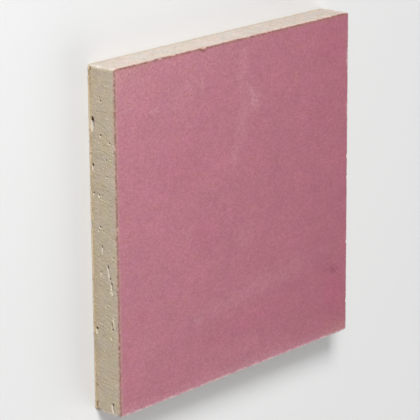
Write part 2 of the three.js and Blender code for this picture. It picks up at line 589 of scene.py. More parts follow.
@dataclass
class CutSurface:
    """The bare surface of the four cuts, as a depth behind the flat saw cut."""

    outline: Outline
    cuts: Mapping[Side, SawnCut]
    swell = Roughness(seed=3, cell=(14.0, 9.0), height=0.05)
    grain = Roughness(seed=11, cell=(1.1, 0.9), height=0.05)
    grain_level: float = 0.06  # how far back the grain lies where it is even
    crumble = Roughness(seed=23, cell=(2.6, 4.0), height=1.0, layers=3)
    crumble_level: float = 0.45
    crumble_most: float = 1.3
    groove_height: float = 0.3  # how far from a liner the core crumbled
    back_groove: float = 0.12
    pit_radius: Pair = (0.14, 0.26)  # smallest, and what the largest adds
    pit_seed: int = 41
    pit_margin: float = 0.01  # share of an edge beside each corner without pits
    pit_free: Pair = (1.8, 2.4)  # height without pits over the back liner, and in all
    pit_lean: float = 40.0  # degrees from the least to the most
    pit_shape: Pair = (0.35, 0.4)  # trough and throat
    open_depth: float = 0.25  # depth over width from which a bubble counts as open
    kept_relief: float = 0.5  # how much of the cut's own relief goes on inside a bubble
    still_corner: Pair = (0.7, 1.9)  # from the corner, where points start to gather at rims
    still_liner: float = 0.6  # the same from a liner
    rim_clear: float = 0.35  # how far beside a bubble dragged paper stays under its rim
    rim_under: float = 0.15  # and how far under it
    corner_wear: float = 0.3  # how far the upright corners crumbled away
    corner_reach: float = 0.9  # and how far from the corner
    corner_level: float = 0.6
    corner_most: float = 1.6
    corner_crumbs = Roughness(seed=61, cell=(1.6, 1.6), height=1.0, layers=3)
    chip = Chip()

    def each_column(self, value: Callable[[SawnCut], float]) -> Array:
        """A value of the cuts, for each column."""
        return np.array([value(self.cuts[side]) for side in Side])[self.outline.side]

    def _openings(self, height: Array, slide: Array | float) -> Iterator[tuple[Bubble, Window, Array, Array]]:
        """Walks the bubbles and pits of every cut.

        Args:
            height: Height of each point, as rows of columns.
            slide: How far each point lies past its column.

        Yields:
            Each bubble, the window of points near it, and their places along and up from its middle.
        """
        outline, size = self.outline, self.outline.size
        along = outline.distance + np.broadcast_to(slide, height.shape)
        for side in Side:
            columns = np.flatnonzero(outline.side == side.value)
            for bubble in (*self.cuts[side].bubbles, *self._pits(side)):
                middle = bubble.along * outline.edge_length(side)
                near = (slice(None), columns[np.abs(outline.distance[columns] - middle) < bubble.length])
                yield bubble, near, along[near] - middle, height[near] - size.core_height(bubble.across)

    def _gathered(self, height: Array) -> tuple[Array, Array]:
        """Draws points towards the rims of the bubbles, less and less towards the liners and the corners.

        Args:
            height: Height of each point, as rows of columns.

        Returns:
            How far each point moves past its column, and its new height.
        """
        outline, size = self.outline, self.outline.size
        slide, rise = np.zeros(height.shape), np.zeros(height.shape)
        for bubble, near, over, up in self._openings(height, 0.0):
            moved = bubble.gathered(over, up)
            slide[near] += moved[0]
            rise[near] += moved[1]
        inside = step_up(outline.corner_distance(), *self.still_corner)
        to_liner = np.minimum(height - size.core_bottom, size.core_top - height)
        inside = inside * step_up(to_liner, 0.0, self.still_liner)
        return slide * inside, height + rise * inside

    def depth(self, height: Array, slide: Array | float = 0.0) -> tuple[Array, Array]:
        """Works out how far the core lies behind the flat cut.

        It is a slow swell, the grain of the gypsum, a groove beside each liner that fades as a bell
        curve, and, where they are deeper, pits and bubbles.

        Args:
            height: Height of each point, as rows of columns.
            slide: How far each point lies past its column.

        Returns:
            The depth of each point, and how hollow it is: to 1 in an opened bubble, and to 2 in its throat.
        """
        size, outline = self.outline.size, self.outline
        rough = self.each_column(lambda cut: cut.roughness)
        crumbled = self.crumble_level + self.crumble.over(outline, height, slide)
        crumbled = np.clip(crumbled, 0.0, self.crumble_most)
        face_groove = self.each_column(lambda cut: cut.crumble) * crumbled
        grain = self.grain_level + self.grain.over(outline, height, slide)
        depth = self.swell.over(outline, height, slide) + rough * grain
        depth += face_groove * bell(size.core_top - height, self.groove_height)
        depth += self.back_groove * bell(height - size.core_bottom, self.groove_height)
        hollow = np.zeros(height.shape)
        for bubble, near, over, up in self._openings(height, slide):
            sunk, throat = bubble.sunk(over, up)
            opened = np.clip(sunk / (self.open_depth * bubble.width), 0.0, 1.0)
            hollow[near] = np.maximum(hollow[near], opened + throat)
            depth[near] = np.maximum(depth[near], sunk + self.kept_relief * depth[near])
        for side in Side:
            columns = outline.side == side.value
            for burr in self.cuts[side].burrs:
                over = outline.distance[columns] - burr.along * outline.edge_length(side)
                depth[:, columns] -= burr.raised(over, height[:, columns] - size.core_height(burr.across))
        return depth, hollow

    def _corner_loss(self, height: Array) -> Array:
        """What crumbled off the upright corners: a bell curve about each, made lumpy by noise.

        Args:
            height: Height of each point, as rows of columns.

        Returns:
            How far each point moves towards the middle.
        """
        near = bell(self.outline.corner_distance(), self.corner_reach)
        lumpy = self.corner_level + self.corner_crumbs.over(self.outline, height)
        return self.corner_wear * near * np.clip(lumpy, 0.0, self.corner_most)

    def _pits(self, side: Side) -> list[Bubble]:
        """Scatters the small pits of one cut: many small ones and few large, by the cube of chance.

        Args:
            side: The cut.

        Returns:
            The pits.
        """
        cut, thickness = self.cuts[side], self.outline.size.core_thickness
        chance = np.random.default_rng(self.pit_seed + side.value).uniform(size=(cut.pits, 4)).T
        along = self.pit_margin + (1.0 - 2.0 * self.pit_margin) * chance[0]
        across = (self.pit_free[0] + (thickness - self.pit_free[1]) * chance[1]) / thickness
        width = 2.0 * (self.pit_radius[0] + self.pit_radius[1] * chance[2] ** 3)
        lean = self.pit_lean * (chance[3] - 0.5)
        rows = zip(along, across, width * cut.pit_stretch, width, lean)
        return [Bubble(*row, *self.pit_shape) for row in rows]

    def points(self, height: Array, stand: Array | float = 0.0) -> tuple[Array, Array]:
        """Places points on the cut at these heights.

        Args:
            height: Height of each point, as rows of columns.
            stand: How far proud of the core they stand.

        Returns:
            The points, and the hollow share of each.
        """
        out = self.outline.out
        slide, raised = self._gathered(height)
        depth, hollow = self.depth(raised, slide)
        flat = self.outline.place - out * (depth - stand)[..., None]
        flat = flat - self.outline.to_corner() * self._corner_loss(raised)[..., None]
        flat = flat + np.stack((-out[:, 1], out[:, 0]), axis=1) * slide[..., None]
        return self.chip.knock(np.concatenate((flat, raised[..., None]), axis=-1), self.outline), hollow

    def dragged(self) -> Array:
        """How high the back liner was dragged up the cut at each column, always under the bubbles there.

        Returns:
            Height of the dragged paper's crest.
        """
        outline, size = self.outline, self.outline.size
        crest = np.zeros(len(outline.travel))
        for side in Side:
            columns = outline.side == side.value
            length, cut = outline.edge_length(side), self.cuts[side]
            share, height = np.array(cut.drag).T
            crest[columns] = np.interp(outline.distance[columns] / length, share, height)
            for bubble in cut.bubbles:
                over = outline.distance[columns] - bubble.along * length
                over = over / (bubble.length / 2.0 + self.rim_clear)
                arch = (bubble.width / 2.0 + self.rim_under) * np.sqrt(np.clip(1.0 - over**2, 0.0, None))
                under = np.minimum(crest[columns], size.core_height(bubble.across) - arch)
                crest[columns] = np.where(np.abs(over) < 1.0, under, crest[columns])
        return crest


# ---- Meshes ----


def mesh_of(name: str, points: Array, polygons: Iterable[Array], crease: float = 40.0) -> Mesh:
    """Writes points and faces into a mesh, smooth but for edges sharper than the crease.

    Args:
        name: The mesh's name.
        points: Points in millimetres.
        polygons: Arrays of faces, each with one row of point numbers for a face.
        crease: Degrees past which an edge stays sharp.

    Returns:
        The mesh, in metres.
    """
    polygons = list(polygons)
    corners = np.concatenate([faces.ravel() for faces in polygons])
    counts = np.concatenate([np.full(len(faces), faces.shape[1]) for faces in polygons])
    mesh = bpy.data.meshes.new(name)
    mesh.vertices.add(len(points))
    mesh.vertices.foreach_set("co", (points * MM).astype(np.float32).ravel())
    mesh.loops.add(len(corners))
    mesh.loops.foreach_set("vertex_index", corners.astype(np.int32))
    mesh.polygons.add(len(counts))
    mesh.polygons.foreach_set("loop_start", (np.cumsum(counts) - counts).astype(np.int32))
    mesh.update(calc_edges=True)
    mesh.shade_smooth()
    mesh.set_sharp_from_angle(angle=math.radians(crease))
    return mesh


def banded(rings: int, columns: int) -> tuple[Array, Array, Array]:
    """Numbers the points of closed rings and joins each ring to the next with quads.

    Args:
        rings: How many rings.
        columns: How many points each has.

    Returns:
        The number of each point, that of the next point in its ring, and the quads.
    """
    index = np.arange(rings * columns).reshape(rings, columns)
    ahead = np.roll(index, -1, axis=1)
    return index, ahead, np.stack((index[:-1], ahead[:-1], ahead[1:], index[1:]), axis=-1).reshape(-1, 4)


def closed_skin(name: str, rings: Array, below: float, above: float) -> Mesh:
    """Joins rings into one closed skin: quads between rings, and a fan to a point at either end.

    Args:
        name: The mesh's name.
        rings: Points, as rings from the lower middle outwards, up and back to the upper middle.
        below: Height of the closing point on the axis under the first ring.
        above: Height of the closing point on the axis over the last ring.

    Returns:
        The mesh.
    """
    index, ahead, quads = banded(*rings.shape[:2])
    low, high = np.full(rings.shape[1], index.size), np.full(rings.shape[1], index.size + 1)
    fans = np.concatenate(
        (np.stack((ahead[0], index[0], low), axis=-1), np.stack((index[-1], ahead[-1], high), axis=-1))
    )
    ends = np.array(((0.0, 0.0, below), (0.0, 0.0, above)))
    return mesh_of(name, np.concatenate((rings.reshape(-1, 3), ends)), (quads, fans))


@dataclass
class Piece(ABC):
    """A part of the board that scene.py makes: its mesh, its finish and what it stands for."""

    outline: Outline
    cut: CutSurface
    name: ClassVar[str]
    slot: ClassVar[str]
    node: ClassVar[str | None] = None

    @abstractmethod
    def mesh(self) -> Mesh:
        """Makes the piece's mesh."""

    def build(self, material: bpy.types.Material) -> None:
        """Makes the piece, dresses it and hands it to the frame.

        Args:
            material: Its finish.
        """
        mesh = self.mesh()
        mesh.materials.append(material)
        piece = bpy.data.objects.new(self.name, mesh)
        bpy.context.scene.collection.objects.link(piece)
        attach(piece, BODY)
        if self.node:
            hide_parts(self.node)
        triangles = sum(len(polygon.vertices) - 2 for polygon in mesh.polygons)
        LOG.info("%s: %d points, %d triangles", self.name, len(mesh.vertices), triangles)


@dataclass
class GypsumCore(Piece):
    """The gypsum between the liners, bare on all four cuts."""

    name = "gypsum_core_cut"
    slot = "gypsum"
    node = "gypsum_core"
    rows: int = 45
    close_rows: tuple[float, ...] = (0.0, 0.08, 0.18)  # heights of the first rows beside a liner
    first_row: float = 0.3  # height of the first of the even rows

    def mesh(self) -> Mesh:
        """The cuts as rows from liner to liner, with the depth of the relief; flat above and below.

        Returns:
            The mesh, with how hollow each point is as its attribute.
        """
        size = self.outline.size
        close = np.array(self.close_rows)
        inner = np.linspace(size.core_bottom + self.first_row, size.core_top - self.first_row, self.rows)
        rows = np.concatenate((size.core_bottom + close, inner, size.core_top - close[::-1]))
        height = np.repeat(rows[:, None], len(self.outline.travel), axis=1)
        points, hollow = self.cut.points(height)
        mesh = closed_skin(self.name, points, size.core_bottom, size.core_top)
        share = mesh.attributes.new("hollow", "FLOAT", "POINT")
        share.data.foreach_set("value", np.append(hollow.ravel(), (0.0, 0.0)).astype(np.float32))
        return mesh


@dataclass
class Liner(Piece):
    """What the two paper liners share: a frayed edge and a side of torn plies."""

    fray = Roughness(seed=101, cell=(2.2, 1.0), height=0.085, layers=4)
    fray_level: float = 0.05  # how far in the edge lies where it is even
    tear = Roughness(seed=113, cell=(5.0, 1.0), height=1.0)
    torn_from: Pair = (0.35, 0.8)  # of that noise: where a tear starts, and is whole
    tear_depth: float = 0.45
    corner_bite: float = 0.35  # how far back the liner frayed at the board's corners
    corner_reach: float = 0.8  # and how far from them
    ply = Roughness(seed=131, cell=(0.9, 0.16), height=0.07)
    left_by: ClassVar[Callable[[SawnCut], PaperEdge]]  # how a cut left this liner's edge

    def bites(self) -> Array:
        """Adds up the nicks.

        Returns:
            Their depth at each column.
        """
        outline = self.outline
        bites = np.zeros(len(outline.travel))
        for side in Side:
            columns = outline.side == side.value
            for nick in self.left_by(self.cut.cuts[side]).nicks:
                bites[columns] += nick.bite(outline.distance[columns], outline.edge_length(side))
        return bites

    def edge(self, bite: float = 1.0) -> Array:
        """The liner's frayed edge: the plan, moved in by fraying, by shallow tears and by the nicks.

        Args:
            bite: Share of the depth of the tears and nicks, and of half of the fraying.

        Returns:
            Plan points, one for each column.
        """
        outline, frayed = self.outline, self.cut.each_column(lambda cut: self.left_by(cut).fray)
        torn = self.bites() + self.tear_depth * step_up(self.tear.over(outline, 0.0), *self.torn_from)
        inwards = frayed * (self.fray_level + (0.5 + 0.5 * bite) * self.fray.over(outline, 0.0)) + bite * torn
        worn = self.corner_bite * bell(outline.corner_distance(), self.corner_reach)
        return outline.place - outline.out * inwards[:, None] - outline.to_corner() * worn[:, None]

    def ply_side(self, edge: Array, heights: Iterable[float]) -> list[Array]:
        """Rings up the side of the liner, each ply a little in or out of the last."""
        out = self.outline.out
        return [self.outline.ring(edge + out * self.ply.over(self.outline, z)[:, None], z) for z in heights]


@dataclass
class FaceLiner(Liner):
    """The pink paper on the face, frayed where it was cut."""

    name = "face_liner"
    slot = "face_paper"
    node = "face_paper"
    left_by = attrgetter("face")
    inner_bite: float = 0.3  # how much of a nick's depth the inner plies lost
    ply_depth: float = 0.14  # thickness of the dyed outer plies
    ply_gap: float = 0.01  # height between them and the ring under them
    swell = Roughness(seed=151, cell=(16.0, 9.0), height=0.02)
    swell_reach: float = 75.0  # from the edge to the middle
    rolled: float = 0.05  # how far the cut rolled the liner's upper edge down
    roll_inset: float = 0.0015  # share of the way to the centre in which most of that is made up
    side_plies: int = 5
    under_insets: tuple[float, ...] = (0.9, 0.5, 0.2, 0.05, 0.01)
    face_insets: Pair = (0.001, 0.95)  # of the first and the last ring
    face_rings: int = 34

    def mesh(self) -> Mesh:
        """Underside, torn side and face, which swells a little with the core.

        Returns:
            The mesh.
        """
        outline, size = self.outline, self.outline.size
        edge, inner = self.edge(), self.edge(self.inner_bite)
        step = size.thickness - self.ply_depth
        rings = [outline.ring(inner, size.core_top, inset) for inset in self.under_insets]
        rings += self.ply_side(inner, np.linspace(size.core_top, step - self.ply_gap, self.side_plies))
        rings += self.ply_side(edge, (step, size.thickness - self.rolled))
        for inset in np.geomspace(*self.face_insets, self.face_rings):
            sunk = self.rolled * math.exp(-inset / self.roll_inset)
            swell = self.swell.over(outline, self.swell_reach * inset)
            rings.append(outline.ring(edge, size.thickness - sunk + swell, inset))
        return closed_skin(self.name, np.stack(rings), size.core_top, size.thickness)


@dataclass
class BackLiner(Liner):
    """The tan paper on the back, with the lip that the saw dragged up over the cut."""

    name = "back_liner"
    slot = "back_paper"
    node = "back_paper"
    left_by = attrgetter("back")
    back_insets: Pair = (0.95, 0.0008)  # of the first and the last ring
    back_rings: int = 20
    side_plies: int = 5
    rounded: float = 0.06  # height of the lowest ring of the side
    side_gap: float = 0.02  # and how far under the core the highest is
    lip_rows: int = 9
    film = Roughness(seed=171, cell=(1.2, 0.8), height=0.04)
    film_thickness: float = 0.05
    film_taper: float = 0.6  # how much of that is gone at the crest
    crest_rough = Roughness(seed=181, cell=(1.5, 1.0), height=0.35, layers=3)
    least_lip: float = 0.1
    lip_nick: float = 0.25  # depth of a nick that leaves no lip
    tuck: float = 0.03  # how far the lip's inner skin is bedded in the core
    torn_corners: tuple[Chip, ...] = (
        Chip(reach=(0.7, 0.6, 0.7), height=0.0),
        Chip(reach=(0.8, 0.9, 0.9), height=0.0, side=Side.LEFT),
    )
    under_insets: tuple[float, ...] = (0.01, 0.05, 0.3, 0.9)

    def crest(self) -> Array:
        """Height of the dragged lip, ragged, and gone where the liner is nicked.

        Returns:
            The height at each column.
        """
        bottom = self.outline.size.core_bottom
        kept = np.clip(1.0 - self.bites() / self.lip_nick, 0.0, 1.0)
        lip = self.cut.dragged() * (1.0 + self.crest_rough.over(self.outline, 0.0)) * kept
        return bottom + np.maximum(lip - bottom, self.least_lip)

    def mesh(self) -> Mesh:
        """Back, torn side, the lip's outer and inner skins, and the side glued to the core.

        Returns:
            The mesh.
        """
        outline, bottom = self.outline, self.outline.size.core_bottom
        edge, crest = self.edge(), self.crest()
        rings = [outline.ring(edge, 0.0, inset) for inset in np.geomspace(*self.back_insets, self.back_rings)]
        rings += self.ply_side(edge, np.linspace(self.rounded, bottom - self.side_gap, self.side_plies))
        torn = np.stack(rings)
        for chip in (*self.torn_corners, self.cut.chip):
            torn = chip.knock(torn, outline)
        share = np.linspace(0.0, 1.0, self.lip_rows)[:, None]
        rise = bottom + share * (crest - bottom)
        film = self.film_thickness * (1.0 - self.film_taper * share) + np.abs(self.film.over(outline, rise))
        rings = [*torn, *self.cut.points(rise, film)[0], *self.cut.points(rise[::-1], -self.tuck)[0]]
        glued = rings[-1][:, :2]
        rings += [outline.ring(glued, bottom, inset) for inset in self.under_insets]
        return closed_skin(self.name, np.stack(rings), 0.0, bottom)


@dataclass
class LooseFibres(Piece):
    """Paper fibres that stand out of a liner's cut edge: slim three-sided cones that curl."""

    roots: Array  # plan points that they grow on
    count: int = 1500
    length: Pair = (0.2, 0.75)
    shortest: float = 0.3  # what chance leaves of the length
    radius: Pair = (0.012, 0.03)
    clear: Pair = (0.02, 15.08)  # heights that no fibre leaves
    bedded: float = 0.06  # how far inside the edge they start
    rise: Pair = (-0.5, 0.4)  # how far they point up
    swing: float = 0.9  # and sideways
    curl: float = 0.35
    segments: int = 4
    sides: int = 3
    crease: float = 80.0
    seed: int = 211

    @abstractmethod
    def root(self) -> Pair:
        """Heights between which they grow."""

    def _lines(self, share: Array, rng: np.random.Generator) -> tuple[Array, Array]:
        """Each fibre's line is root + L (s d + s^2 b), with d its direction and b its curl.

        Args:
            share: The places s along it, from 0 to 1.
            rng: The source of chance.

        Returns:
            The direction of each fibre, and its points.
        """
        column = rng.integers(0, len(self.outline.travel), self.count)
        out = np.column_stack((self.outline.out[column], np.zeros(self.count)))
        along = np.column_stack((-out[:, 1], out[:, 0], np.zeros(self.count)))
        swing = rng.normal(0.0, self.swing, self.count)[:, None]
        lift = rng.uniform(*self.rise, self.count)[:, None]
        way = out + along * swing + np.array((0.0, 0.0, 1.0)) * lift
        way /= np.linalg.norm(way, axis=1, keepdims=True)
        curl = rng.normal(0.0, self.curl, (self.count, 3))
        reach = rng.uniform(*self.length, self.count) * rng.uniform(self.shortest, 1.0, self.count)
        height = rng.uniform(*self.root(), self.count)
        start = np.column_stack((self.roots[column], height)) - self.bedded * out
        bent = share[None, :, None] * way[:, None] + share[None, :, None] ** 2 * curl[:, None]
        line = start[:, None] + reach[:, None, None] * bent
        line[..., 2] = np.clip(line[..., 2], *self.clear)
        return way, line

    def _spokes(self, way: Array) -> Array:
        """Unit spokes square to each fibre's direction, spread evenly round it.

        Args:
            way: The directions.

        Returns:
            The spokes of each fibre.
        """
        over = np.cross(way, (0.0, 0.0, 1.0))
        over /= np.linalg.norm(over, axis=1, keepdims=True) + 1e-9
        under = np.cross(way, over)
        turn = np.arange(self.sides) * (2.0 * math.pi / self.sides)
        return np.cos(turn)[None, :, None] * over[:, None] + np.sin(turn)[None, :, None] * under[:, None]

    def mesh(self) -> Mesh:
        """Rings of radius r (1 - s) about each fibre's line, closed by a cap and a tip.

        Returns:
            One mesh of all the fibres.
        """
        rng = np.random.default_rng(self.seed)
        share = np.linspace(0.0, 1.0, self.segments + 1)
        way, line = self._lines(share, rng)
        radius = rng.uniform(*self.radius, self.count)[:, None] * (1.0 - share[None, :-1])
        body = line[:, :-1, None] + radius[:, :, None, None] * self._spokes(way)[:, None]
        points = np.concatenate((body.reshape(self.count, -1, 3), line[:, -1:]), axis=1)
        index, ahead, quads = banded(self.segments, self.sides)
        tip = np.full(self.sides, index.size)
        caps = np.concatenate((np.stack((index[-1], ahead[-1], tip), axis=-1), index[:1, ::-1]))
        step = np.arange(self.count)[:, None, None] * (index.size + 1)
        faces = ((quads + step).reshape(-1, 4), (caps + step).reshape(-1, 3))
        return mesh_of(self.name, points.reshape(-1, 3), faces, self.crease)


@dataclass
class FaceFibres(LooseFibres):
    """The fibres of the pink liner, which grow between its two faces."""

    name = "face_liner_fibres"
    slot = "face_paper"
    root_clear: Pair = (0.05, 0.06)  # how far inside them

    def root(self) -> Pair:
        """Heights between which they grow."""
        size, (below, above) = self.outline.size, self.root_clear
        return size.core_top + below, size.thickness - above


@dataclass
class BackFibres(LooseFibres):
    """The fibres of the tan liner, which the saw turned up."""

    name = "back_liner_fibres"
    slot = "back_paper"
    rise: Pair = (-0.1, 0.9)
    seed: int = 223
    heights: Pair = (0.1, 0.45)

    def root(self) -> Pair:
        """Heights between which they grow."""
        return self.heights


# ---- Shader wiring ----


def shown(colour: Colour) -> tuple[float, float, float, float]:
    """Turns a screen colour into the linear one that a shader reads: ((c + 0.055) / 1.055)^2.4."""
    return (*(((c / 255.0 + 0.055) / 1.055) ** 2.4 for c in colour), 1.0)


class Wiring:
    """Adds nodes to one node tree and joins them up."""

    def __init__(self, tree: bpy.types.NodeTree) -> None:
        """Keeps the tree to work on."""
        self.tree = tree

    def feed(self, socket: Socket, value: Feed) -> None:
        """Joins a socket to another, or sets its value.

        Args:
            socket: The input.
            value: The output that feeds it, or its value.
        """
        if isinstance(value, bpy.types.NodeSocket):
            self.tree.links.new(value, socket)
        else:
            socket.default_value = value

    def fill(self, node: bpy.types.Node, values: Mapping[str | int, Feed]) -> Outputs:
        """Feeds a node's inputs.

        Args:
            node: The node.
            values: What feeds each input, by the input's name or number.

        Returns:
            The node's outputs.
        """
        for key, value in values.items():
            self.feed(node.inputs[key], value)
        return node.outputs

    def add(self, kind: str, values: Mapping[str | int, Feed], **settings: object) -> Outputs:
        """Adds a node.

        Args:
            kind: Blender's name for such a node.
            values: What feeds each input, by the input's name or number.
            settings: The node's properties.

        Returns:
            The node's outputs.
        """
        node = self.tree.nodes.new(kind)
        for name, value in settings.items():
            setattr(node, name, value)
        return self.fill(node, values)

    def maths(self, operation: str, *values: Feed) -> Socket:
        """A sum on numbers."""
        return self.add("ShaderNodeMath", dict(enumerate(values)), operation=operation)[0]

    plus = partialmethod(maths, "ADD")
    minus = partialmethod(maths, "SUBTRACT")
    times = partialmethod(maths, "MULTIPLY")
    times_plus = partialmethod(maths, "MULTIPLY_ADD")  # the first times the second, plus the third
    larger = partialmethod(maths, "MAXIMUM")
    smaller = partialmethod(maths, "MINIMUM")

    def vector(self, operation: str, first: Feed, second: Feed) -> Socket:
        """A sum on two vectors."""
        return self.add("ShaderNodeVectorMath", {0: first, 1: second}, operation=operation)["Vector"]

    def scaled(self, vector: Feed, factor: Feed) -> Socket:
        """A vector times a number."""
        fed = {"Vector": vector, "Scale": factor}
        return self.add("ShaderNodeVectorMath", fed, operation="SCALE")["Vector"]

    def length(self, vector: Feed) -> Socket:
        """Length of a vector."""
        return self.add("ShaderNodeVectorMath", {"Vector": vector}, operation="LENGTH")["Value"]

    def split(self, vector: Socket) -> Outputs:
        """The three numbers of a vector."""
        return self.add("ShaderNodeSeparateXYZ", {"Vector": vector})

    def mix(self, share: Feed, first: Feed, second: Feed) -> Socket:
        """A colour between two, by the share of the second."""
        return self.add("ShaderNodeMix", {0: share, 6: first, 7: second}, data_type="RGBA")[2]


@dataclass(frozen=True)
class Change:
    """A smooth change of a value from low to high, while another goes from start to end."""

    start: Feed
    end: float
    low: float = 0.0
    high: float = 1.0

    def lifted(self, by: float) -> "Change":
        """The same change, started and ended so much later."""
        return Change(self.start + by, self.end + by, self.low, self.high)

    def of(self, wiring: Wiring, value: Feed) -> Socket:
        """Wires the change of what follows the value."""
        fed = dict(enumerate((value, self.start, self.end, self.low, self.high)))
        return wiring.add("ShaderNodeMapRange", fed, interpolation_type="SMOOTHSTEP")[0]


@dataclass(frozen=True)
class Lumps:
    """Smooth noise from 0 to 1."""

    cell: float  # size of its largest lumps
    detail: float = 2.0  # how many times lumps of half the size are added
    evenness: float = 0.5  # how strong each size of lump is beside the one before it
    shift: Triple | None = None  # where it is read, beside the place

    def over(self, wiring: Wiring, place: Feed, unit: Socket | None = None) -> Socket:
        """Wires the noise.

        Args:
            wiring: The tree.
            place: Where it is read.
            unit: What the cell is measured in, if it isn't millimetres.

        Returns:
            The noise.
        """
        place = wiring.vector("ADD", place, self.shift) if self.shift else place
        scale = wiring.maths("DIVIDE", 1.0, wiring.times(unit, self.cell)) if unit else 1.0 / self.cell
        fed = {"Vector": place, "Scale": scale, "Detail": self.detail, "Roughness": self.evenness}
        return self.levelled(wiring, wiring.add("ShaderNodeTexNoise", fed)["Fac"])

    def levelled(self, wiring: Wiring, noise: Socket) -> Socket:
        """The noise as it is."""
        return noise


@dataclass(frozen=True)
class Swing(Lumps):
    """The same noise, swinging about 0."""

    reach: float = 1.0  # about how far, either way
    gain = 4.0  # such noise keeps within about a quarter of its middle

    def levelled(self, wiring: Wiring, noise: Socket) -> Socket:
        """The noise less its middle, times its reach."""
        return wiring.times(wiring.minus(noise, 0.5), self.gain * self.reach)


@dataclass(frozen=True)
class Patches:
    """Patches with soft edges, where noise passes from the start to the end of a change."""

    lumps: Lumps
    change: Change

    def over(self, wiring: Wiring, place: Feed, unit: Socket | None = None) -> Socket:
        """Wires the patches, with the noise read at the place."""
        return self.change.of(wiring, self.lumps.over(wiring, place, unit))


class PortKind(Enum):
    """What a group's socket carries."""

    VALUE = "NodeSocketFloat"
    VECTOR = "NodeSocketVector"


@dataclass(frozen=True)
class Port:
    """A named input or output of a shader group."""

    name: str
    kind: PortKind = PortKind.VALUE
    default: float | Triple = 0.0


POSITION = Port("Position", PortKind.VECTOR, (0.0, 0.0, 0.0))


class ShaderGroup(ABC):
    """A shader effect that several finishes place, each with its own values."""

    title: ClassVar[str]
    inputs: ClassVar[tuple[Port, ...]]
    outputs: ClassVar[tuple[str, ...]]  # each a value

    @abstractmethod
    def wire(self, wiring: Wiring, given: Outputs) -> dict[str, Socket]:
        """Makes the nodes inside the group.

        Args:
            wiring: The group's own tree.
            given: The group's inputs.

        Returns:
            What feeds each output.
        """

    def tree(self) -> bpy.types.NodeTree:
        """The group's node tree, built the first time that it is asked for.

        Returns:
            The tree.
        """
        if self.title in bpy.data.node_groups:
            return bpy.data.node_groups[self.title]
        tree = bpy.data.node_groups.new(self.title, "ShaderNodeTree")
        for way, ports in (("INPUT", self.inputs), ("OUTPUT", map(Port, self.outputs))):
            for port in ports:
                socket = tree.interface.new_socket(port.name, in_out=way, socket_type=port.kind.value)
                socket.default_value = port.default
        wiring = Wiring(tree)
        wiring.add("NodeGroupOutput", self.wire(wiring, wiring.add("NodeGroupInput", {})))
        return tree

    def place(self, wiring: Wiring, **values: Feed) -> Outputs:
        """Puts the group into a tree, fed by name with an underscore for a space; returns its outputs."""
        fed = {name.replace("_", " "): value for name, value in values.items()}
        return wiring.add("ShaderNodeGroup", fed, node_tree=self.tree())


class BoardEdges(ShaderGroup):
    """Distance in from each edge and from the upright corners, and a mask of the cuts that run along."""

    title = "board_edges"
    inputs = (POSITION, Port("Half Width"), Port("Half Length"))
    outputs = ("Left", "Right", "Head", "Foot", "Corner", "Long Cut")
    turning = Change(-0.2, 0.2)  # from a cross cut to a long one, by how much nearer the long one is

    def wire(self, wiring: Wiring, given: Outputs) -> dict[str, Socket]:
        """Half size less or plus the place; a corner is where both of the nearest two are small.

        Args:
            wiring: The group's own tree.
            given: The group's inputs.

        Returns:
            What feeds each output.
        """
        x, y, _ = wiring.split(given["Position"])
        found = {
            "Left": wiring.plus(given["Half Width"], x),
            "Right": wiring.minus(given["Half Width"], x),
            "Head": wiring.minus(given["Half Length"], y),
            "Foot": wiring.plus(given["Half Length"], y),
        }
        across = wiring.smaller(found["Left"], found["Right"])
        along = wiring.smaller(found["Head"], found["Foot"])
        found["Corner"] = wiring.larger(across, along)
        found["Long Cut"] = self.turning.of(wiring, wiring.minus(along, across))
        return found


class MineralGrain(ShaderGroup):
    """The look of sawn gypsum: cloudy tone, two slow hues, dark and pale specks, and a height."""

    title = "mineral_grain"
    inputs = (POSITION, Port("Cell", default=0.5), Port("Clouds", default=4.0))
    outputs = ("Tone", "Hue", "Flush", "Dark Speck", "Pale Speck", "Height")
    cloud = Swing(1.0, 4.0, 0.65, reach=0.4)
    grain = Swing(1.0, 3.0, 0.9, reach=1.5)
    hue = Swing(1.0, 2.0, 0.65, (51.0, 27.0, 13.0), 1.1)
    flush = Swing(1.0, 2.0, 0.65, (-37.0, 63.0, 29.0), 1.1)
    dark = Patches(Lumps(1.1, 0.0, shift=(17.0, 5.0, 9.0)), Change(0.77, 0.9))
    pale = Patches(Lumps(1.3, 1.0, shift=(3.0, 31.0, 7.0)), Change(0.64, 0.78))
    rough = Lumps(0.5, 3.0)
    pale_height = 0.5
    dark_depth = 1.5

    def wire(self, wiring: Wiring, given: Outputs) -> dict[str, Socket]:
        """Clouds plus grain make the tone, and the tops of two more noises make the specks.

        Args:
            wiring: The group's own tree.
            given: The group's inputs.

        Returns:
            What feeds each output.
        """
        place, cell, clouds = given["Position"], given["Cell"], given["Clouds"]
        dark, pale = self.dark.over(wiring, place, cell), self.pale.over(wiring, place, cell)
        raised = wiring.times_plus(pale, self.pale_height, self.rough.over(wiring, place, cell))
        return {
            "Tone": wiring.plus(self.cloud.over(wiring, place, clouds), self.grain.over(wiring, place, cell)),
            "Hue": self.hue.over(wiring, place, clouds),
            "Flush": self.flush.over(wiring, place, clouds),
            "Dark Speck": dark,
            "Pale Speck": pale,
            "Height": wiring.minus(raised, wiring.times(dark, self.dark_depth)),
        }


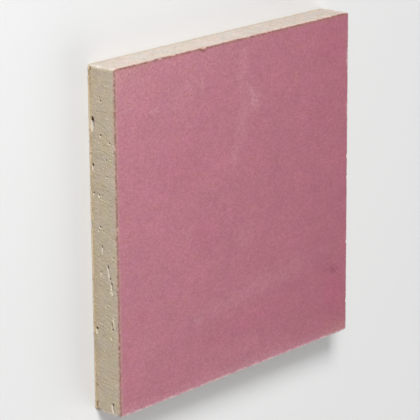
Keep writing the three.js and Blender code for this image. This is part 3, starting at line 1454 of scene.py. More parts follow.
class PaperFibre(ShaderGroup):
    """The look of uncoated paper: matted fibres, slow cloudiness of the sheet, and stray flecks."""

    title = "paper_fibre"
    inputs = (POSITION, Port("Cell", default=0.5), Port("Grain", PortKind.VECTOR, (0.7, 1.0, 1.0)))
    outputs = ("Tone", "Cloud", "Hue", "Fleck", "Height")
    noises = {
        "Tone": Swing(2.0, 4.0, 0.85),
        "Cloud": Swing(30.0, 4.0, 0.85),
        "Hue": Swing(16.0, 4.0, 1.0, (71.0, 43.0, 29.0)),
        "Fleck": Patches(Lumps(1.2, 0.0, shift=(11.0, 23.0, 5.0)), Change(0.80, 0.86)),
        "Height": Lumps(0.6, 3.0),
    }

    def wire(self, wiring: Wiring, given: Outputs) -> dict[str, Socket]:
        """Noises of many sizes drawn out along the paper's grain; a fleck is the rare top of a fine one."""
        drawn = wiring.vector("MULTIPLY", given["Position"], given["Grain"])
        return {name: noise.over(wiring, drawn, given["Cell"]) for name, noise in self.noises.items()}


class SawMarks(ShaderGroup):
    """What a saw leaves on a cut: smears and streaks drawn out along it, and fine chatter square to them."""

    title = "saw_marks"
    inputs = (POSITION, Port("Smear Length", default=9.0), Port("Pitch", default=0.6))
    outputs = ("Smear", "Streak", "Chatter")
    slant = -math.radians(16.0)
    smear = Patches(Lumps(1.0, 3.0), Change(0.42, 0.72))
    smear_squeeze = (1.0, 1.0, 12.0)
    streak = Swing(2.4, 4.0, 0.8)
    streak_squeeze = (1.0, 1.0, 5.0)
    chatter = Lumps(1.0, 1.0)
    chatter_stretch = (1.0, 1.0, 0.15)

    def wire(self, wiring: Wiring, given: Outputs) -> dict[str, Socket]:
        """Noises squeezed in height make the smears and streaks; one stretched square to them, chatter.

        Args:
            wiring: The group's own tree.
            given: The group's inputs.

        Returns:
            What feeds each output.
        """
        place = given["Position"]
        turned = {"Vector": place, "Angle": self.slant}
        slanted = wiring.add("ShaderNodeVectorRotate", turned, rotation_type="X_AXIS")[0]
        smeared = wiring.vector("MULTIPLY", place, self.smear_squeeze)
        streaked = wiring.vector("MULTIPLY", place, self.streak_squeeze)
        drawn = wiring.vector("MULTIPLY", slanted, self.chatter_stretch)
        return {
            "Smear": self.smear.over(wiring, smeared, given["Smear Length"]),
            "Streak": self.streak.over(wiring, streaked),
            "Chatter": self.chatter.over(wiring, drawn, given["Pitch"]),
        }


class SoftMark(ShaderGroup):
    """One mark of handling: an ellipsoid with a ragged, soft edge."""

    title = "soft_mark"
    inputs = (
        POSITION,
        Port("Centre", PortKind.VECTOR, (0.0, 0.0, 0.0)),
        Port("Reach", PortKind.VECTOR, (1.0, 1.0, 1.0)),
        Port("Turn"),
        Port("Softness", default=0.8),
        Port("Ragged"),
        Port("Broken", default=1.0),
    )
    outputs = ("Mask",)

    def wire(self, wiring: Wiring, given: Outputs) -> dict[str, Socket]:
        """Distance from the centre over the reach, roughened and faded at 1.

        Args:
            wiring: The group's own tree.
            given: The group's inputs.

        Returns:
            What feeds each output.
        """
        turned = {"Vector": given["Position"], "Center": given["Centre"], "Angle": given["Turn"]}
        place = wiring.add("ShaderNodeVectorRotate", turned, rotation_type="Z_AXIS")[0]
        off = wiring.vector("SUBTRACT", place, given["Centre"])
        far = wiring.length(wiring.vector("DIVIDE", off, given["Reach"]))
        faded_and_lit = Change(wiring.minus(1.0, given["Softness"]), 1.0, 1.0, 0.0)
        mask = faded_and_lit.of(wiring, wiring.plus(far, given["Ragged"]))
        return {"Mask": wiring.times(mask, given["Broken"])}


# ---- Finishes ----


@dataclass(frozen=True)
class Mark:
    """A mark: an ellipsoid's place and reach in millimetres, its turn in degrees and its strength."""

    centre: Triple
    reach: Triple
    turn: float
    strength: float
    softness: float
    face = 15.0
    any_height = 1000.0
    left = -75.0
    left_depth = 10.0

    @classmethod
    def on_face(cls, *rows: tuple[float, ...]) -> "tuple[Mark, ...]":
        """Marks on the face, each given as x, y, its reach along them, turn, strength and softness."""
        return tuple(cls((*row[:2], cls.face), (*row[2:4], cls.any_height), *row[4:]) for row in rows)

    @classmethod
    def on_left(cls, *rows: tuple[float, ...]) -> "tuple[Mark, ...]":
        """Marks on the left cut, each given as y, z, its reach along them, strength and softness."""
        return tuple(cls((cls.left, *row[:2]), (cls.left_depth, *row[2:4]), 0.0, *row[4:]) for row in rows)


class Coat(Wiring):
    """A material's tree, with the place on the board and the colour that is laid on it so far."""

    mark_edge = Swing(1.1, 3.0, reach=0.28)
    mark_gaps = Patches(Lumps(1.3, 3.0, 0.7), Change(0.35, 0.6, 0.3, 1.0))

    def __init__(self, material: bpy.types.Material, size: SheetSize) -> None:
        """Finds the place on the board in millimetres, its height and the board's edges.

        Args:
            material: The material to fill.
            size: The board's sizes.
        """
        super().__init__(material.node_tree)
        self.shader = material.node_tree.nodes["Principled BSDF"]
        scaled = {"Vector": self.add("ShaderNodeTexCoord", {})["Object"], "Scale": (1.0 / MM,) * 3}
        self.place = self.add("ShaderNodeMapping", scaled, vector_type="POINT")[0]
        self.height = self.split(self.place)[2]
        width, length = size.half
        self.edges = BoardEdges().place(self, Position=self.place, Half_Width=width, Half_Length=length)
        self.colour: Feed = (0.0, 0.0, 0.0, 1.0)

    def read(self, pattern: "Lumps | Patches") -> Socket:
        """A pattern at this place on the board."""
        return pattern.over(self, self.place)

    def ragged(self, far: Feed, edge: Swing) -> Socket:
        """A distance made uneven by noise, for a mask with a ragged edge."""
        return self.plus(far, self.read(edge))

    def by_cut(self, cross: float, along: float) -> Socket:
        """An amount with one value on the cuts across the board and another on those along it."""
        return Change(0.0, 1.0, cross, along).of(self, self.edges["Long Cut"])

    def lay(self, mask: Feed, colour: Colour) -> None:
        """Lays a colour over what is there, by a mask."""
        self.colour = self.mix(mask, self.colour, shown(colour))

    def shade(self, tone: Feed) -> None:
        """Makes what is laid lighter or darker by a tone about 0: colour * (1 + tone)."""
        self.colour = self.scaled(self.colour, self.plus(tone, 1.0))

    def lean(self, hue: Feed, tint: Triple) -> None:
        """Leans what is laid towards a tint by a hue about 0: colour * (1 + hue * tint)."""
        swung = self.vector("ADD", self.scaled(tint, hue), (1.0, 1.0, 1.0))
        self.colour = self.vector("MULTIPLY", self.colour, swung)

    def marked(self, marks: Iterable[Mark]) -> Socket:
        """The strongest of several marks at each place.

        Args:
            marks: The marks.

        Returns:
            The mask of all of them.
        """
        ragged, broken = self.read(self.mark_edge), self.read(self.mark_gaps)
        found: Feed = 0.0
        for mark in marks:
            mask = SoftMark().place(
                self,
                Position=self.place,
                Centre=mark.centre,
                Reach=mark.reach,
                Turn=-math.radians(mark.turn),
                Softness=mark.softness,
                Ragged=ragged,
                Broken=broken,
            )["Mask"]
            found = self.larger(found, self.times(mask, mark.strength))
        return found

    def finish(self, roughness: Socket, relief: Socket, depth: float) -> None:
        """Feeds the shader: what is laid, how rough it is, and its relief in units of the depth."""
        bump = self.add("ShaderNodeBump", {"Strength": 1.0, "Distance": depth * MM, "Height": relief})[0]
        self.fill(self.shader, {"Base Color": self.colour, "Roughness": roughness, "Normal": bump})


@dataclass(frozen=True)
class Finish(ABC):
    """A finish of the board: named colours and amounts, and the material made of them."""

    size: SheetSize
    title: ClassVar[str]
    specular: ClassVar[float]

    @abstractmethod
    def paint(self, coat: Coat) -> None:
        """Lays the colours and feeds the shader."""

    def material(self) -> bpy.types.Material:
        """Makes the material.

        Returns:
            The material.
        """
        material = bpy.data.materials.new(self.title)
        material.use_nodes = True
        coat = Coat(material, self.size)
        coat.shader.inputs["Specular IOR Level"].default_value = self.specular
        self.paint(coat)
        return material


@dataclass(frozen=True)
class SawnGypsum(Finish):
    """Chalky sawn gypsum: clean across the board, browner where the saw ran along it."""

    title = "sawn_gypsum"
    specular = 0.1
    cross_cut: Colour = (245, 231, 220)
    long_cut: Colour = (229, 212, 187)
    shade_to_right = Change(40.0, 165.0, 0.0, -0.1)  # painted shade: tone of the cross cuts, darker by the distance from the left
    grain_cell: float = 0.4797  # keeps the planes of the cuts between those of the noise, where it is faint
    clouds: float = 5.0
    dust_edge = Swing(1.2, reach=0.5)
    paper_dust: Colour = (225, 202, 168)
    back_dust = Change(0.8, 2.8, 0.75, 0.0)  # by the height over the back liner
    back_dust_by_cut: Pair = (0.25, 1.0)
    smear_dust: float = 0.25
    pink_dust: Colour = (228, 192, 175)
    face_dust = Change(-1.4, 0.0, 0.0, 0.6)  # by the height over the top of the core
    dark: Colour = (164, 144, 120)
    pale: Colour = (240, 232, 220)
    specks: float = 0.5
    seam: Colour = (126, 88, 72)
    seam_band = Change(-0.45, -0.2)
    seam_by_cut: Pair = (0.75, 0.4)
    seam_dots = Patches(Lumps(1.2, 2.0, 0.7), Change(0.5, 0.6))
    nub: Colour = (255, 232, 220)  # torn plies that stand over the cut
    nub_edge = Swing(0.9, reach=0.3)
    nub_band = Change(-2.8, -1.3)
    nub_top = Change(-0.9, 0.0, 1.0, 0.4)
    nub_lumps = Patches(Lumps(1.3, 2.0, 0.7), Change(0.44, 0.56))
    nub_by_cut: Pair = (0.9, 0.15)
    fresh: Colour = (255, 242, 224)
    corner_edge = Swing(0.9, 3.0, reach=0.3)
    corner = Change(0.6, 1.4, 0.95, 0.0)
    chip = Chip()
    chip_edge = Swing(1.0, 3.0, reach=0.16)
    chip_rim = Change(1.0, 1.7, 1.0, 0.0)
    inside: Colour = (249, 238, 224)
    opened = Change(0.0, 1.0, 0.0, 0.7)
    shadowed: Colour = (126, 80, 14)  # painted shadow deep in a bubble's throat
    throat = Change(1.1, 1.55, 0.0, 0.96)
    yellow: Triple = (0.16, 0.07, -1.0)
    yellow_by_cut: Pair = (0.045, 0.073)
    blush: Triple = (1.0, -0.6, 0.19)
    flush_by_cut: Pair = (0.028, 0.021)
    blush_by_cut: Pair = (0.02, 0.0)  # how much of it follows the yellow
    grey: Triple = (0.95, 1.0, 1.07)  # how much each colour follows the grain's tone
    tone_by_cut: Pair = (0.25, 0.17)
    dullness = Change(0.0, 1.5, 0.98, 0.88)
    chatter: float = 0.85
    relief: float = 0.39

    def paint(self, coat: Coat) -> None:
        """Cut colour with painted shade darker to the right on the cross cuts, saw smears and paper dust near
        the liners, specks, painted shadow deep in the bubbles, then grain over all of it.

        Args:
            coat: The material's tree.
        """
        bottom, top = self.size.core_bottom, self.size.core_top
        grain = MineralGrain().place(coat, Position=coat.place, Cell=self.grain_cell, Clouds=self.clouds)
        saw = SawMarks().place(coat, Position=coat.place)
        coat.colour = shown(self.cross_cut)[:3]
        # painted shade: the cross cuts darker towards the right
        coat.shade(self.shade_to_right.of(coat, coat.edges["Left"]))
        coat.lay(coat.edges["Long Cut"], self.long_cut)
        ragged = coat.ragged(coat.height, self.dust_edge)
        dusted = self.back_dust.lifted(bottom).of(coat, ragged)
        dusted = coat.times(dusted, coat.by_cut(*self.back_dust_by_cut))
        coat.lay(coat.larger(dusted, coat.times(saw["Smear"], self.smear_dust)), self.paper_dust)
        coat.lay(self.face_dust.lifted(top).of(coat, ragged), self.pink_dust)
        coat.lay(coat.times(grain["Dark Speck"], self.specks), self.dark)
        coat.lay(coat.times(grain["Pale Speck"], self.specks), self.pale)
        beside = coat.times(self.seam_band.lifted(top).of(coat, coat.height), coat.by_cut(*self.seam_by_cut))
        coat.lay(coat.times(beside, coat.read(self.seam_dots)), self.seam)
        coat.lay(self._nubs(coat), self.nub)
        coat.lay(self._broken(coat), self.fresh)
        hollow = coat.add("ShaderNodeAttribute", {}, attribute_name="hollow")["Fac"]
        coat.lay(self.opened.of(coat, hollow), self.inside)
        # painted shadow: dark brown in the throats of the bubbles, where shade falls
        coat.lay(self.throat.of(coat, hollow), self.shadowed)
        coat.lean(coat.times(grain["Hue"], coat.by_cut(*self.yellow_by_cut)), self.yellow)
        alone = coat.times(grain["Flush"], coat.by_cut(*self.flush_by_cut))
        coat.lean(coat.times_plus(grain["Hue"], coat.by_cut(*self.blush_by_cut), alone), self.blush)
        coat.lean(coat.times(grain["Tone"], coat.by_cut(*self.tone_by_cut)), self.grey)
        relief = coat.plus(grain["Height"], coat.times(saw["Chatter"], self.chatter))
        coat.finish(self.dullness.of(coat, grain["Height"]), relief, self.relief)

    def _nubs(self, coat: Coat) -> Socket:
        """Finds the torn plies that stand as nubs over the cut beside the face liner.

        Args:
            coat: The material's tree.

        Returns:
            Their mask, weaker on the cuts that run along.
        """
        top = self.size.core_top
        ragged = coat.ragged(coat.height, self.nub_edge)
        close = self.nub_band.lifted(top).of(coat, ragged)
        close = coat.times(close, self.nub_top.lifted(top).of(coat, coat.height))
        lumps = coat.read(self.nub_lumps)
        return coat.times(coat.by_cut(*self.nub_by_cut), coat.times(close, lumps))

    def _broken(self, coat: Coat) -> Socket:
        """Finds the freshly broken gypsum: the four upright corners, and the rim of the chipped one.

        Args:
            coat: The material's tree.

        Returns:
            Its mask.
        """
        crumbled = coat.ragged(coat.edges["Corner"], self.corner_edge)
        chipped = (*-self.size.half, self.chip.height)
        near = coat.vector("DIVIDE", coat.vector("SUBTRACT", coat.place, chipped), self.chip.reach)
        ragged = coat.ragged(coat.length(near), self.chip_edge)
        return coat.larger(self.corner.of(coat, crumbled), self.chip_rim.of(coat, ragged))


@dataclass(frozen=True)
class Wear:
    """How the pink face is rubbed along one edge: how far in, how much, and to what colour."""

    side: Side
    reach: float
    strength: float
    colour: Colour


@dataclass(frozen=True)
class PinkLiner(Finish):
    """Pink uncoated paper: matted fibres, paler and more salmon towards the head and the left by painted
    light and in cloudy patches, scuffed, worn pale at its edges.
    """

    title = "pink_liner_paper"
    specular = 0.35
    deep: Colour = (159, 89, 106)
    # paler, more salmon pink: painted light towards the head and the left, and the paper's cloudy patches
    faded_and_lit: Colour = (183, 120, 133)
    painted_light_left: float = 0.57  # painted light: how much paler the left foot corner is, and what the head and the right add
    painted_light_head: float = 0.3
    painted_light_right: float = -0.57
    fade_clouds: float = 0.19
    fibre_cell: float = 0.45
    unworn: Colour = (167, 80, 107)
    unworn_marks: tuple[Mark, ...] = Mark.on_face(
        (66, -54, 11, 15, 10, 0.5, 0.95),
        (-35, 25, 24, 18, 0, 0.15, 0.95),
        (62, 62, 14, 13, 0, 0.3, 0.95),
        (58, 32, 13, 10, 0, 0.16, 0.95),
        (-22, -7, 11, 16, 25, 0.2, 0.95),
        (10, -53, 40, 8, 3, 0.18, 0.95),
        (-61, -33, 6, 7, 0, 0.22, 0.95),
    )
    warm: Colour = (180, 130, 110)
    warm_marks: tuple[Mark, ...] = Mark.on_face(
        (69, -72, 16, 8, 0, 0.3, 0.95),
        (-70, 74, 34, 14, 0, 0.2, 0.95),
    )
    scuff: Colour = (206, 165, 168)
    pale_marks: tuple[Mark, ...] = Mark.on_face(
        (11, 46.8, 4, 5.4, 20, 0.36, 0.85),
        (10.5, 46.5, 8, 9, 20, 0.15, 0.9),
        (13.2, 43.8, 1.8, 1.6, 0, 0.26, 0.95),
        (9, 50.4, 2.2, 4.4, 20, 0.36, 0.95),
        (3.4, 61.5, 6, 16, -9, 0.13, 0.75),
        (6.5, 53, 3.2, 6, 30, 0.17, 0.9),
        (2.5, 38, 6, 19, -13, 0.13, 0.9),
        (-2.2, 25, 3.4, 7.5, -8, 0.16, 0.8),
        (5, -12.5, 10, 8, 0, 0.1, 0.95),
        (-38, 57, 17, 12, 0, 0.08, 0.95),
        (-30, 60.5, 8.5, 7.5, 0, 0.13, 0.8),
        (-22.3, 59, 1.6, 5.5, -3, 0.3, 0.9),
        (-51.3, 53.2, 5, 2, 0, 0.32, 0.95),
        (-67.5, 57, 9, 1.6, 13, 0.26, 0.95),
        (-31.5, -3.5, 6.5, 2.6, 42, 0.1, 0.95),
        (-33, -3, 0.5, 1.8, 5, 0.3, 0.7),
        (30.6, -39.2, 0.9, 0.8, 0, 0.35, 0.9),
        (14, -38, 7, 3.6, 5, 0.13, 0.95),
        (30, -38, 6.5, 4.5, 0, 0.17, 0.95),
        (40, -31.5, 6.5, 4.5, 15, 0.1, 0.95),
        (-8, -41, 6.5, 4, 5, 0.15, 0.95),
        (-26, -44, 4.5, 6, 0, 0.17, 0.95),
        (62, -33, 14, 4, 5, 0.06, 0.95),
        (10, -38.8, 58, 7.5, 6, 0.12, 0.95),
        (-60, -48, 10, 8, 0, 0.06, 0.95),
        (-80, 80, 45, 40, 0, 0.19, 0.95),
        (-25, 80, 62, 26, 0, 0.11, 0.95),
        (10, -80, 75, 26, 0, 0.15, 0.95),
        (8, -73.5, 24, 3.6, 0, 0.16, 0.95),
        (-70, -73.5, 9, 4, 0, 0.12, 0.95),
        (74.9, 54.5, 1.6, 6, 0, 0.8, 0.5),
        (74.9, 30, 1.4, 8, 0, 0.5, 0.6),
    )
    stain: Colour = (140, 68, 90)
    dark_marks: tuple[Mark, ...] = Mark.on_face(
        (62.5, -42.6, 11, 4.5, -15, 0.5, 0.9),
        (65, -43.3, 5, 3, -15, 1, 0.8),
        (54, -25, 8, 4, 20, 0.16, 0.95),
        (-24, 41, 4, 3, 0, 0.16, 0.95),
        (66, 42, 14, 17, 0, 0.08, 0.95),
        (-16, -55.5, 13, 6, 0, 0.16, 0.95),
        (58, -62, 12, 7, 0, 0.2, 0.95),
        (19.7, 57, 0.5, 0.4, 0, 0.7, 0.4),
        (44, -66, 0.6, 0.5, 0, 0.6, 0.4),
    )
    fleck: Colour = (104, 58, 66)
    fleck_strength: float = 0.5
    wear: tuple[Wear, ...] = (
        Wear(Side.LEFT, 2.5, 0.8, (172, 150, 128)),
        Wear(Side.RIGHT, 0.9, 0.55, (168, 138, 132)),
        Wear(Side.FOOT, 6.0, 0.2, (200, 160, 168)),
        Wear(Side.FOOT, 1.4, 1.0, (210, 182, 182)),
        Wear(Side.HEAD, 1.7, 0.75, (168, 132, 110)),
    )
    wear_edge = Swing(0.9, 3.0, reach=0.35)
    wear_kept = Patches(Lumps(2.6, 3.0, 0.7), Change(0.4, 0.6, 0.45, 1.0))
    burnt: Colour = (120, 68, 52)
    burnt_dots = Patches(Lumps(1.0, 2.0, 0.7), Change(0.42, 0.54))
    burnt_clear: float = 0.3  # how much narrower than at the head it is at the left
    burnt_edge = Swing(0.8, reach=0.15)
    burnt_band = Change(0.45, 1.4, 0.75, 0.0)
    ply: Colour = (232, 192, 178)
    ply_edge = Swing(0.5, reach=0.01)
    ply_step = Change(-0.14, -0.11, 1.0, 0.0)  # by the height over the face
    ply_burnt = Patches(Lumps(1.2, 2.0, 0.7), Change(0.4, 0.62, 0.1, 0.62))
    torn_marks: tuple[Mark, ...] = Mark.on_face(
        (-21.6, 74.1, 2.6, 1.3, 0, 0.9, 0.5),
        (-20, 73.9, 1.2, 0.6, 20, 0.8, 0.6),
    )
    salmon: Triple = (-0.24, 0.42, -1.0)
    salmon_strength: float = 0.095
    dye: Triple = (1.0, -0.667, -0.746)
    dye_strength: float = 0.04
    grey: Triple = (0.8, 1.2, 1.1)  # how much each colour follows the fibres' tone
    tone: float = 0.3
    dullness = Change(0.3, 0.7, 0.62, 0.78)
    relief: float = 0.05

    def paint(self, coat: Coat) -> None:
        """Paper colour, paler towards the head and the left by painted light, and marks on the face, then
        wear at the rim, then the plies on the cut side.

        Args:
            coat: The material's tree.
        """
        fibre = PaperFibre().place(coat, Position=coat.place, Cell=self.fibre_cell)
        # painted light: the face paler towards the left and the head
        painted_light = coat.times_plus(coat.edges["Left"], self.painted_light_right / self.size.width, self.painted_light_left)
        painted_light = coat.times_plus(coat.edges["Foot"], self.painted_light_head / self.size.length, painted_light)
        coat.colour = shown(self.deep)
        coat.lay(coat.plus(painted_light, coat.times(fibre["Cloud"], self.fade_clouds)), self.faded_and_lit)
        for marks, left in (
            (self.unworn_marks, self.unworn),
            (self.warm_marks, self.warm),
            (self.pale_marks, self.scuff),
            (self.dark_marks, self.stain),
        ):
            coat.lay(coat.marked(marks), left)
        coat.lay(coat.times(fibre["Fleck"], self.fleck_strength), self.fleck)
        self._wear(coat)
        self._side(coat)
        coat.lay(coat.marked(self.torn_marks), self.burnt)
        coat.lean(coat.times(fibre["Hue"], self.salmon_strength), self.salmon)
        coat.lean(coat.times(fibre["Cloud"], self.dye_strength), self.dye)
        coat.lean(coat.times(fibre["Tone"], self.tone), self.grey)
        coat.finish(self.dullness.of(coat, fibre["Height"]), fibre["Height"], self.relief)

    def _wear(self, coat: Coat) -> None:
        """Pale where the rim was rubbed, dotted brown along the head where the saw scorched it.

        Args:
            coat: The material's tree.
        """
        edge, kept = coat.read(self.wear_edge), coat.read(self.wear_kept)
        for wear in self.wear:
            near = coat.plus(coat.edges[wear.side.name.title()], edge)
            rubbed = Change(0.0, wear.reach, wear.strength, 0.0).of(coat, near)
            coat.lay(coat.times(rubbed, kept), wear.colour)
        near = coat.smaller(coat.edges["Head"], coat.plus(coat.edges["Left"], self.burnt_clear))
        ragged = coat.ragged(near, self.burnt_edge)
        dots = coat.read(self.burnt_dots)
        coat.lay(coat.times(dots, self.burnt_band.of(coat, ragged)), self.burnt)

    def _side(self, coat: Coat) -> None:
        """Pale plies under the dyed one, where the cut and the tears show them, scorched here and there.

        Args:
            coat: The material's tree.
        """
        height = coat.ragged(coat.height, self.ply_edge)
        buried = self.ply_step.lifted(self.size.thickness).of(coat, height)
        ply = coat.mix(coat.read(self.ply_burnt), shown(self.ply), shown(self.burnt))
        coat.colour = coat.mix(buried, coat.colour, ply)


@dataclass(frozen=True)
class TanLiner(Finish):
    """Tan recycled paper: grey-brown and flecked on the back, paler and redder where it was torn."""

    title = "tan_liner_paper"
    specular = 0.25
    back: Colour = (183, 160, 128)
    torn: Colour = (232, 213, 179)
    torn_across: Colour = (208, 190, 166)
    torn_from = Change(0.02, 0.2)  # by the height
    dragged_by_cut: Pair = (0.3, 1.0)
    cream: Colour = (255, 234, 200)
    rim_edge = Swing(2.2, 3.0, reach=0.22)
    rim = Change(0.35, 1.05, 0.75, 0.0)
    brown: Colour = (150, 112, 70)
    bits = Patches(Lumps(1.6, 3.0), Change(0.58, 0.7, 0.0, 0.55))
    smear_length: float = 6.0
    smear: float = 0.25
    scorch: Colour = (132, 80, 26)
    brown_marks: tuple[Mark, ...] = Mark.on_left(
        (73.4, 1.55, 1.4, 0.42, 0.95, 0.6),
        (71, 0.65, 0.7, 0.5, 0.95, 0.6),
        (68.7, 0.6, 1.2, 0.5, 0.7, 0.8),
        (69, 1.2, 9.5, 1.5, 0.3, 0.95),
        (-63, 1.2, 10, 1, 0.22, 0.95),
        (51.9, 0.9, 0.5, 0.3, 0.5, 0.6),
        (23.4, 0.7, 0.4, 1.1, 0.7, 0.6),
        (-51.4, 1.3, 1.4, 1.2, 0.3, 0.9),
        (-71.6, 1.4, 2.3, 1.1, 0.7, 0.7),
        (-73.3, 1.7, 1.1, 0.7, 0.7, 0.6),
    )
    cream_marks: tuple[Mark, ...] = Mark.on_left(
        (-70, 0.8, 0.5, 0.8, 0.9, 0.7),
        (-71.8, 0.5, 1.9, 0.45, 0.8, 0.7),
        (-72, 2.4, 1.3, 0.45, 0.7, 0.7),
    )
    fibre_cell: float = 0.6
    fibre_grain: Triple = (1.0, 0.5, 1.0)
    fleck: Colour = (112, 92, 70)
    fleck_strength: float = 0.6
    clouds: float = 0.5  # how much of the fibres' tone they are
    tone: float = 0.06
    streaks: float = 0.06
    streak_height: float = 1.1
    dullness = Change(0.3, 0.7, 0.75, 0.9)
    relief: float = 0.06

    def paint(self, coat: Coat) -> None:
        """The back by height, the torn edge above it with brown bits, and fibres over both.

        Args:
            coat: The material's tree.
        """
        fibre = PaperFibre().place(coat, Position=coat.place, Cell=self.fibre_cell, Grain=self.fibre_grain)
        saw = SawMarks().place(coat, Position=coat.place, Smear_Length=self.smear_length)
        torn = self.torn_from.of(coat, coat.height)
        side = coat.mix(coat.edges["Long Cut"], shown(self.torn_across), shown(self.torn))
        coat.colour = coat.mix(torn, shown(self.back), side)
        dragged = coat.times(torn, coat.by_cut(*self.dragged_by_cut))
        rim = coat.ragged(coat.height, self.rim_edge)
        coat.lay(coat.times(self.rim.of(coat, rim), dragged), self.cream)
        coat.lay(coat.times(coat.read(self.bits), dragged), self.brown)
        coat.lay(coat.times(coat.times(saw["Smear"], dragged), self.smear), self.brown)
        coat.lay(coat.marked(self.brown_marks), self.scorch)
        coat.lay(coat.marked(self.cream_marks), self.cream)
        coat.lay(coat.times(fibre["Fleck"], self.fleck_strength), self.fleck)
        tone = coat.plus(fibre["Tone"], coat.times(fibre["Cloud"], self.clouds))
        streaked = coat.times(saw["Streak"], torn)
        coat.shade(coat.plus(coat.times(tone, self.tone), coat.times(streaked, self.streaks)))
        relief = coat.times_plus(streaked, self.streak_height, fibre["Height"])
        coat.finish(self.dullness.of(coat, fibre["Height"]), relief, self.relief)


# ---- The studio ----


@dataclass(frozen=True)
class Lamp(ABC):
    """A soft white lamp. The board, where it is square to it, is lit to its level of the written colour."""

    name: str
    place: Triple  # metres, or only the way to a far lamp
    level: float
    width: float  # degrees of a far lamp, and metres of a near one

    @abstractmethod
    def light(self) -> bpy.types.Light:
        """Makes the light."""

    def hang(self) -> None:
        """Puts the lamp up, turned towards the board."""
        hung = bpy.data.objects.new(self.name, self.light())
        hung.location = self.place
        hung.rotation_euler = Vector(self.place).to_track_quat("Z", "Y").to_euler()
        bpy.context.scene.collection.objects.link(hung)


class SunLamp(Lamp):
    """A far lamp."""

    def light(self) -> bpy.types.Light:
        """A lit surface shines its colour times strength over pi.

        Returns:
            The light.
        """
        lamp = bpy.data.lights.new(self.name, "SUN")
        lamp.energy, lamp.angle = self.level * math.pi, math.radians(self.width)
        return lamp

    @property
    def on_floor(self) -> float:
        """What the lamp adds to the floor's level: its own times the sine of its height."""
        return self.level * Vector(self.place).normalized().z


class SoftBox(Lamp):
    """A near square lamp."""

    def light(self) -> bpy.types.Light:
        """At distance d it lights to power / (pi d)^2.

        Returns:
            The light.
        """
        lamp = bpy.data.lights.new(self.name, "AREA")
        lamp.shape, lamp.size = "SQUARE", self.width
        lamp.energy = self.level * (math.pi * Vector(self.place).length) ** 2
        return lamp


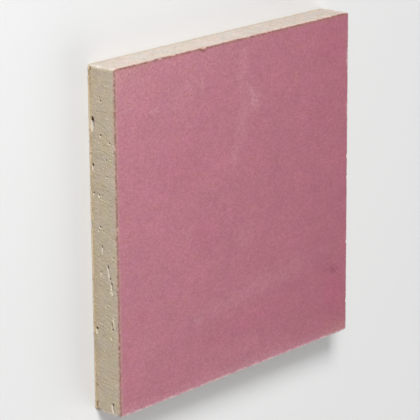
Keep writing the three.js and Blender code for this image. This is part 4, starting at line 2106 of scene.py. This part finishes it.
@dataclass(frozen=True)
class Studio:
    """A pale floor and soft light from above the head of the board."""

    white: tuple[float, float, float, float] = (1.0, 1.0, 1.0, 1.0)
    floor_colour: float = 0.8
    floor_bounce: float = 0.35  # how pale the floor is to everything but the camera
    floor_radius: float = 20.0  # metres
    floor_corners: int = 96
    floor_drop: float = 0.00005  # metres, so that the floor and the board's back don't coincide
    ambient: float = 0.3
    suns: tuple[SunLamp, ...] = (
        SunLamp("key_light", (-0.28, 0.585, 0.45), 0.70, 20.0),
        SunLamp("fill_light", (0.32, -0.28, 0.16), 0.455, 60.0),
    )
    boxes: tuple[SoftBox, ...] = (SoftBox("top_left_box", (-0.25, 0.27, 0.36), 0.25, 0.26),)

    @staticmethod
    def seen(wiring: Wiring) -> Socket:
        """Finds the rays that show a thing: the camera's, and those that gloss and glass send on.

        Args:
            wiring: The tree.

        Returns:
            1 for those rays and 0 for the others.
        """
        rays = wiring.add("ShaderNodeLightPath", {})
        sent_on = wiring.larger(rays["Is Glossy Ray"], rays["Is Transmission Ray"])
        return wiring.larger(rays["Is Camera Ray"], sent_on)

    def floor(self) -> None:
        """Lays the floor: a disc of one plain colour that doesn't shine."""
        bpy.ops.mesh.primitive_circle_add(
            vertices=self.floor_corners,
            radius=self.floor_radius,
            fill_type="NGON",
            location=(0.0, 0.0, -self.floor_drop),
        )
        floor = bpy.context.object
        floor.name = "studio_floor"
        material = bpy.data.materials.new("studio_floor")
        material.use_nodes = True
        wiring = Wiring(material.node_tree)
        bounced, pale = ((*(level,) * 3, 1.0) for level in (self.floor_bounce, self.floor_colour))
        colour = wiring.mix(self.seen(wiring), bounced, pale)
        dull = {"Base Color": colour, "Roughness": 1.0, "Specular IOR Level": 0.0}
        wiring.fill(material.node_tree.nodes["Principled BSDF"], dull)
        floor.data.materials.append(material)

    def sky(self) -> None:
        """Even light from all round, and for the camera a backdrop as bright as the far floor."""
        world = bpy.data.worlds.new("studio")
        bpy.context.scene.world = world
        world.use_nodes = True
        wiring = Wiring(world.node_tree)
        shade = self.floor_colour * (self.ambient + sum(sun.on_floor for sun in self.suns))
        nodes = world.node_tree.nodes
        light = wiring.fill(nodes["Background"], {"Color": self.white, "Strength": self.ambient})[0]
        backdrop = wiring.add("ShaderNodeBackground", {"Color": self.white, "Strength": shade})[0]
        shown_to = wiring.add("ShaderNodeMixShader", {0: self.seen(wiring), 1: light, 2: backdrop})[0]
        wiring.fill(nodes["World Output"], {"Surface": shown_to})

    def build(self) -> None:
        """Sets the whole studio up."""
        self.floor()
        self.sky()
        for lamp in (*self.suns, *self.boxes):
            lamp.hang()
        bpy.context.scene.view_settings.view_transform = "Standard"


@dataclass(frozen=True)
class Viewpoint:
    """The camera: it looks down on the board past its head and left cuts, the head of the board up."""

    place: Triple = (-0.73373, 0.28643, 0.66472)  # metres
    right: Triple = (0.67044, -0.00808, 0.74192)
    up: Triple = (0.21362, 0.9597, -0.1826)
    lens: float = 201.8
    sensor: float = 36.0
    clip: Pair = (0.05, 100.0)  # metres

    def build(self) -> None:
        """Makes the camera and gives it to the scene."""
        camera = bpy.data.cameras.new("camera")
        camera.lens, camera.sensor_width = self.lens, self.sensor
        camera.clip_start, camera.clip_end = self.clip
        stand = bpy.data.objects.new("camera", camera)
        right, up = Vector(self.right), Vector(self.up)
        turned = Matrix((right, up, right.cross(up))).transposed()
        stand.matrix_world = Matrix.LocRotScale(Vector(self.place), turned.to_quaternion(), None)
        bpy.context.scene.collection.objects.link(stand)
        bpy.context.scene.camera = stand


def main() -> None:
    """Builds the studio, then the board from its core outwards."""
    logging.basicConfig(level=logging.INFO, format="%(message)s")
    Viewpoint().build()
    Studio().build()
    size = SheetSize.from_frame()
    outline = Outline(size)
    cut = CutSurface(outline, CUTS)
    gypsum, pink, tan = (finish(size).material() for finish in (SawnGypsum, PinkLiner, TanLiner))
    face, back = FaceLiner(outline, cut), BackLiner(outline, cut)
    GypsumCore(outline, cut).build(gypsum)
    face.build(pink)
    back.build(tan)
    FaceFibres(outline, cut, face.edge()).build(pink)
    BackFibres(outline, cut, back.edge()).build(tan)


if __name__ == "__main__":
    main()
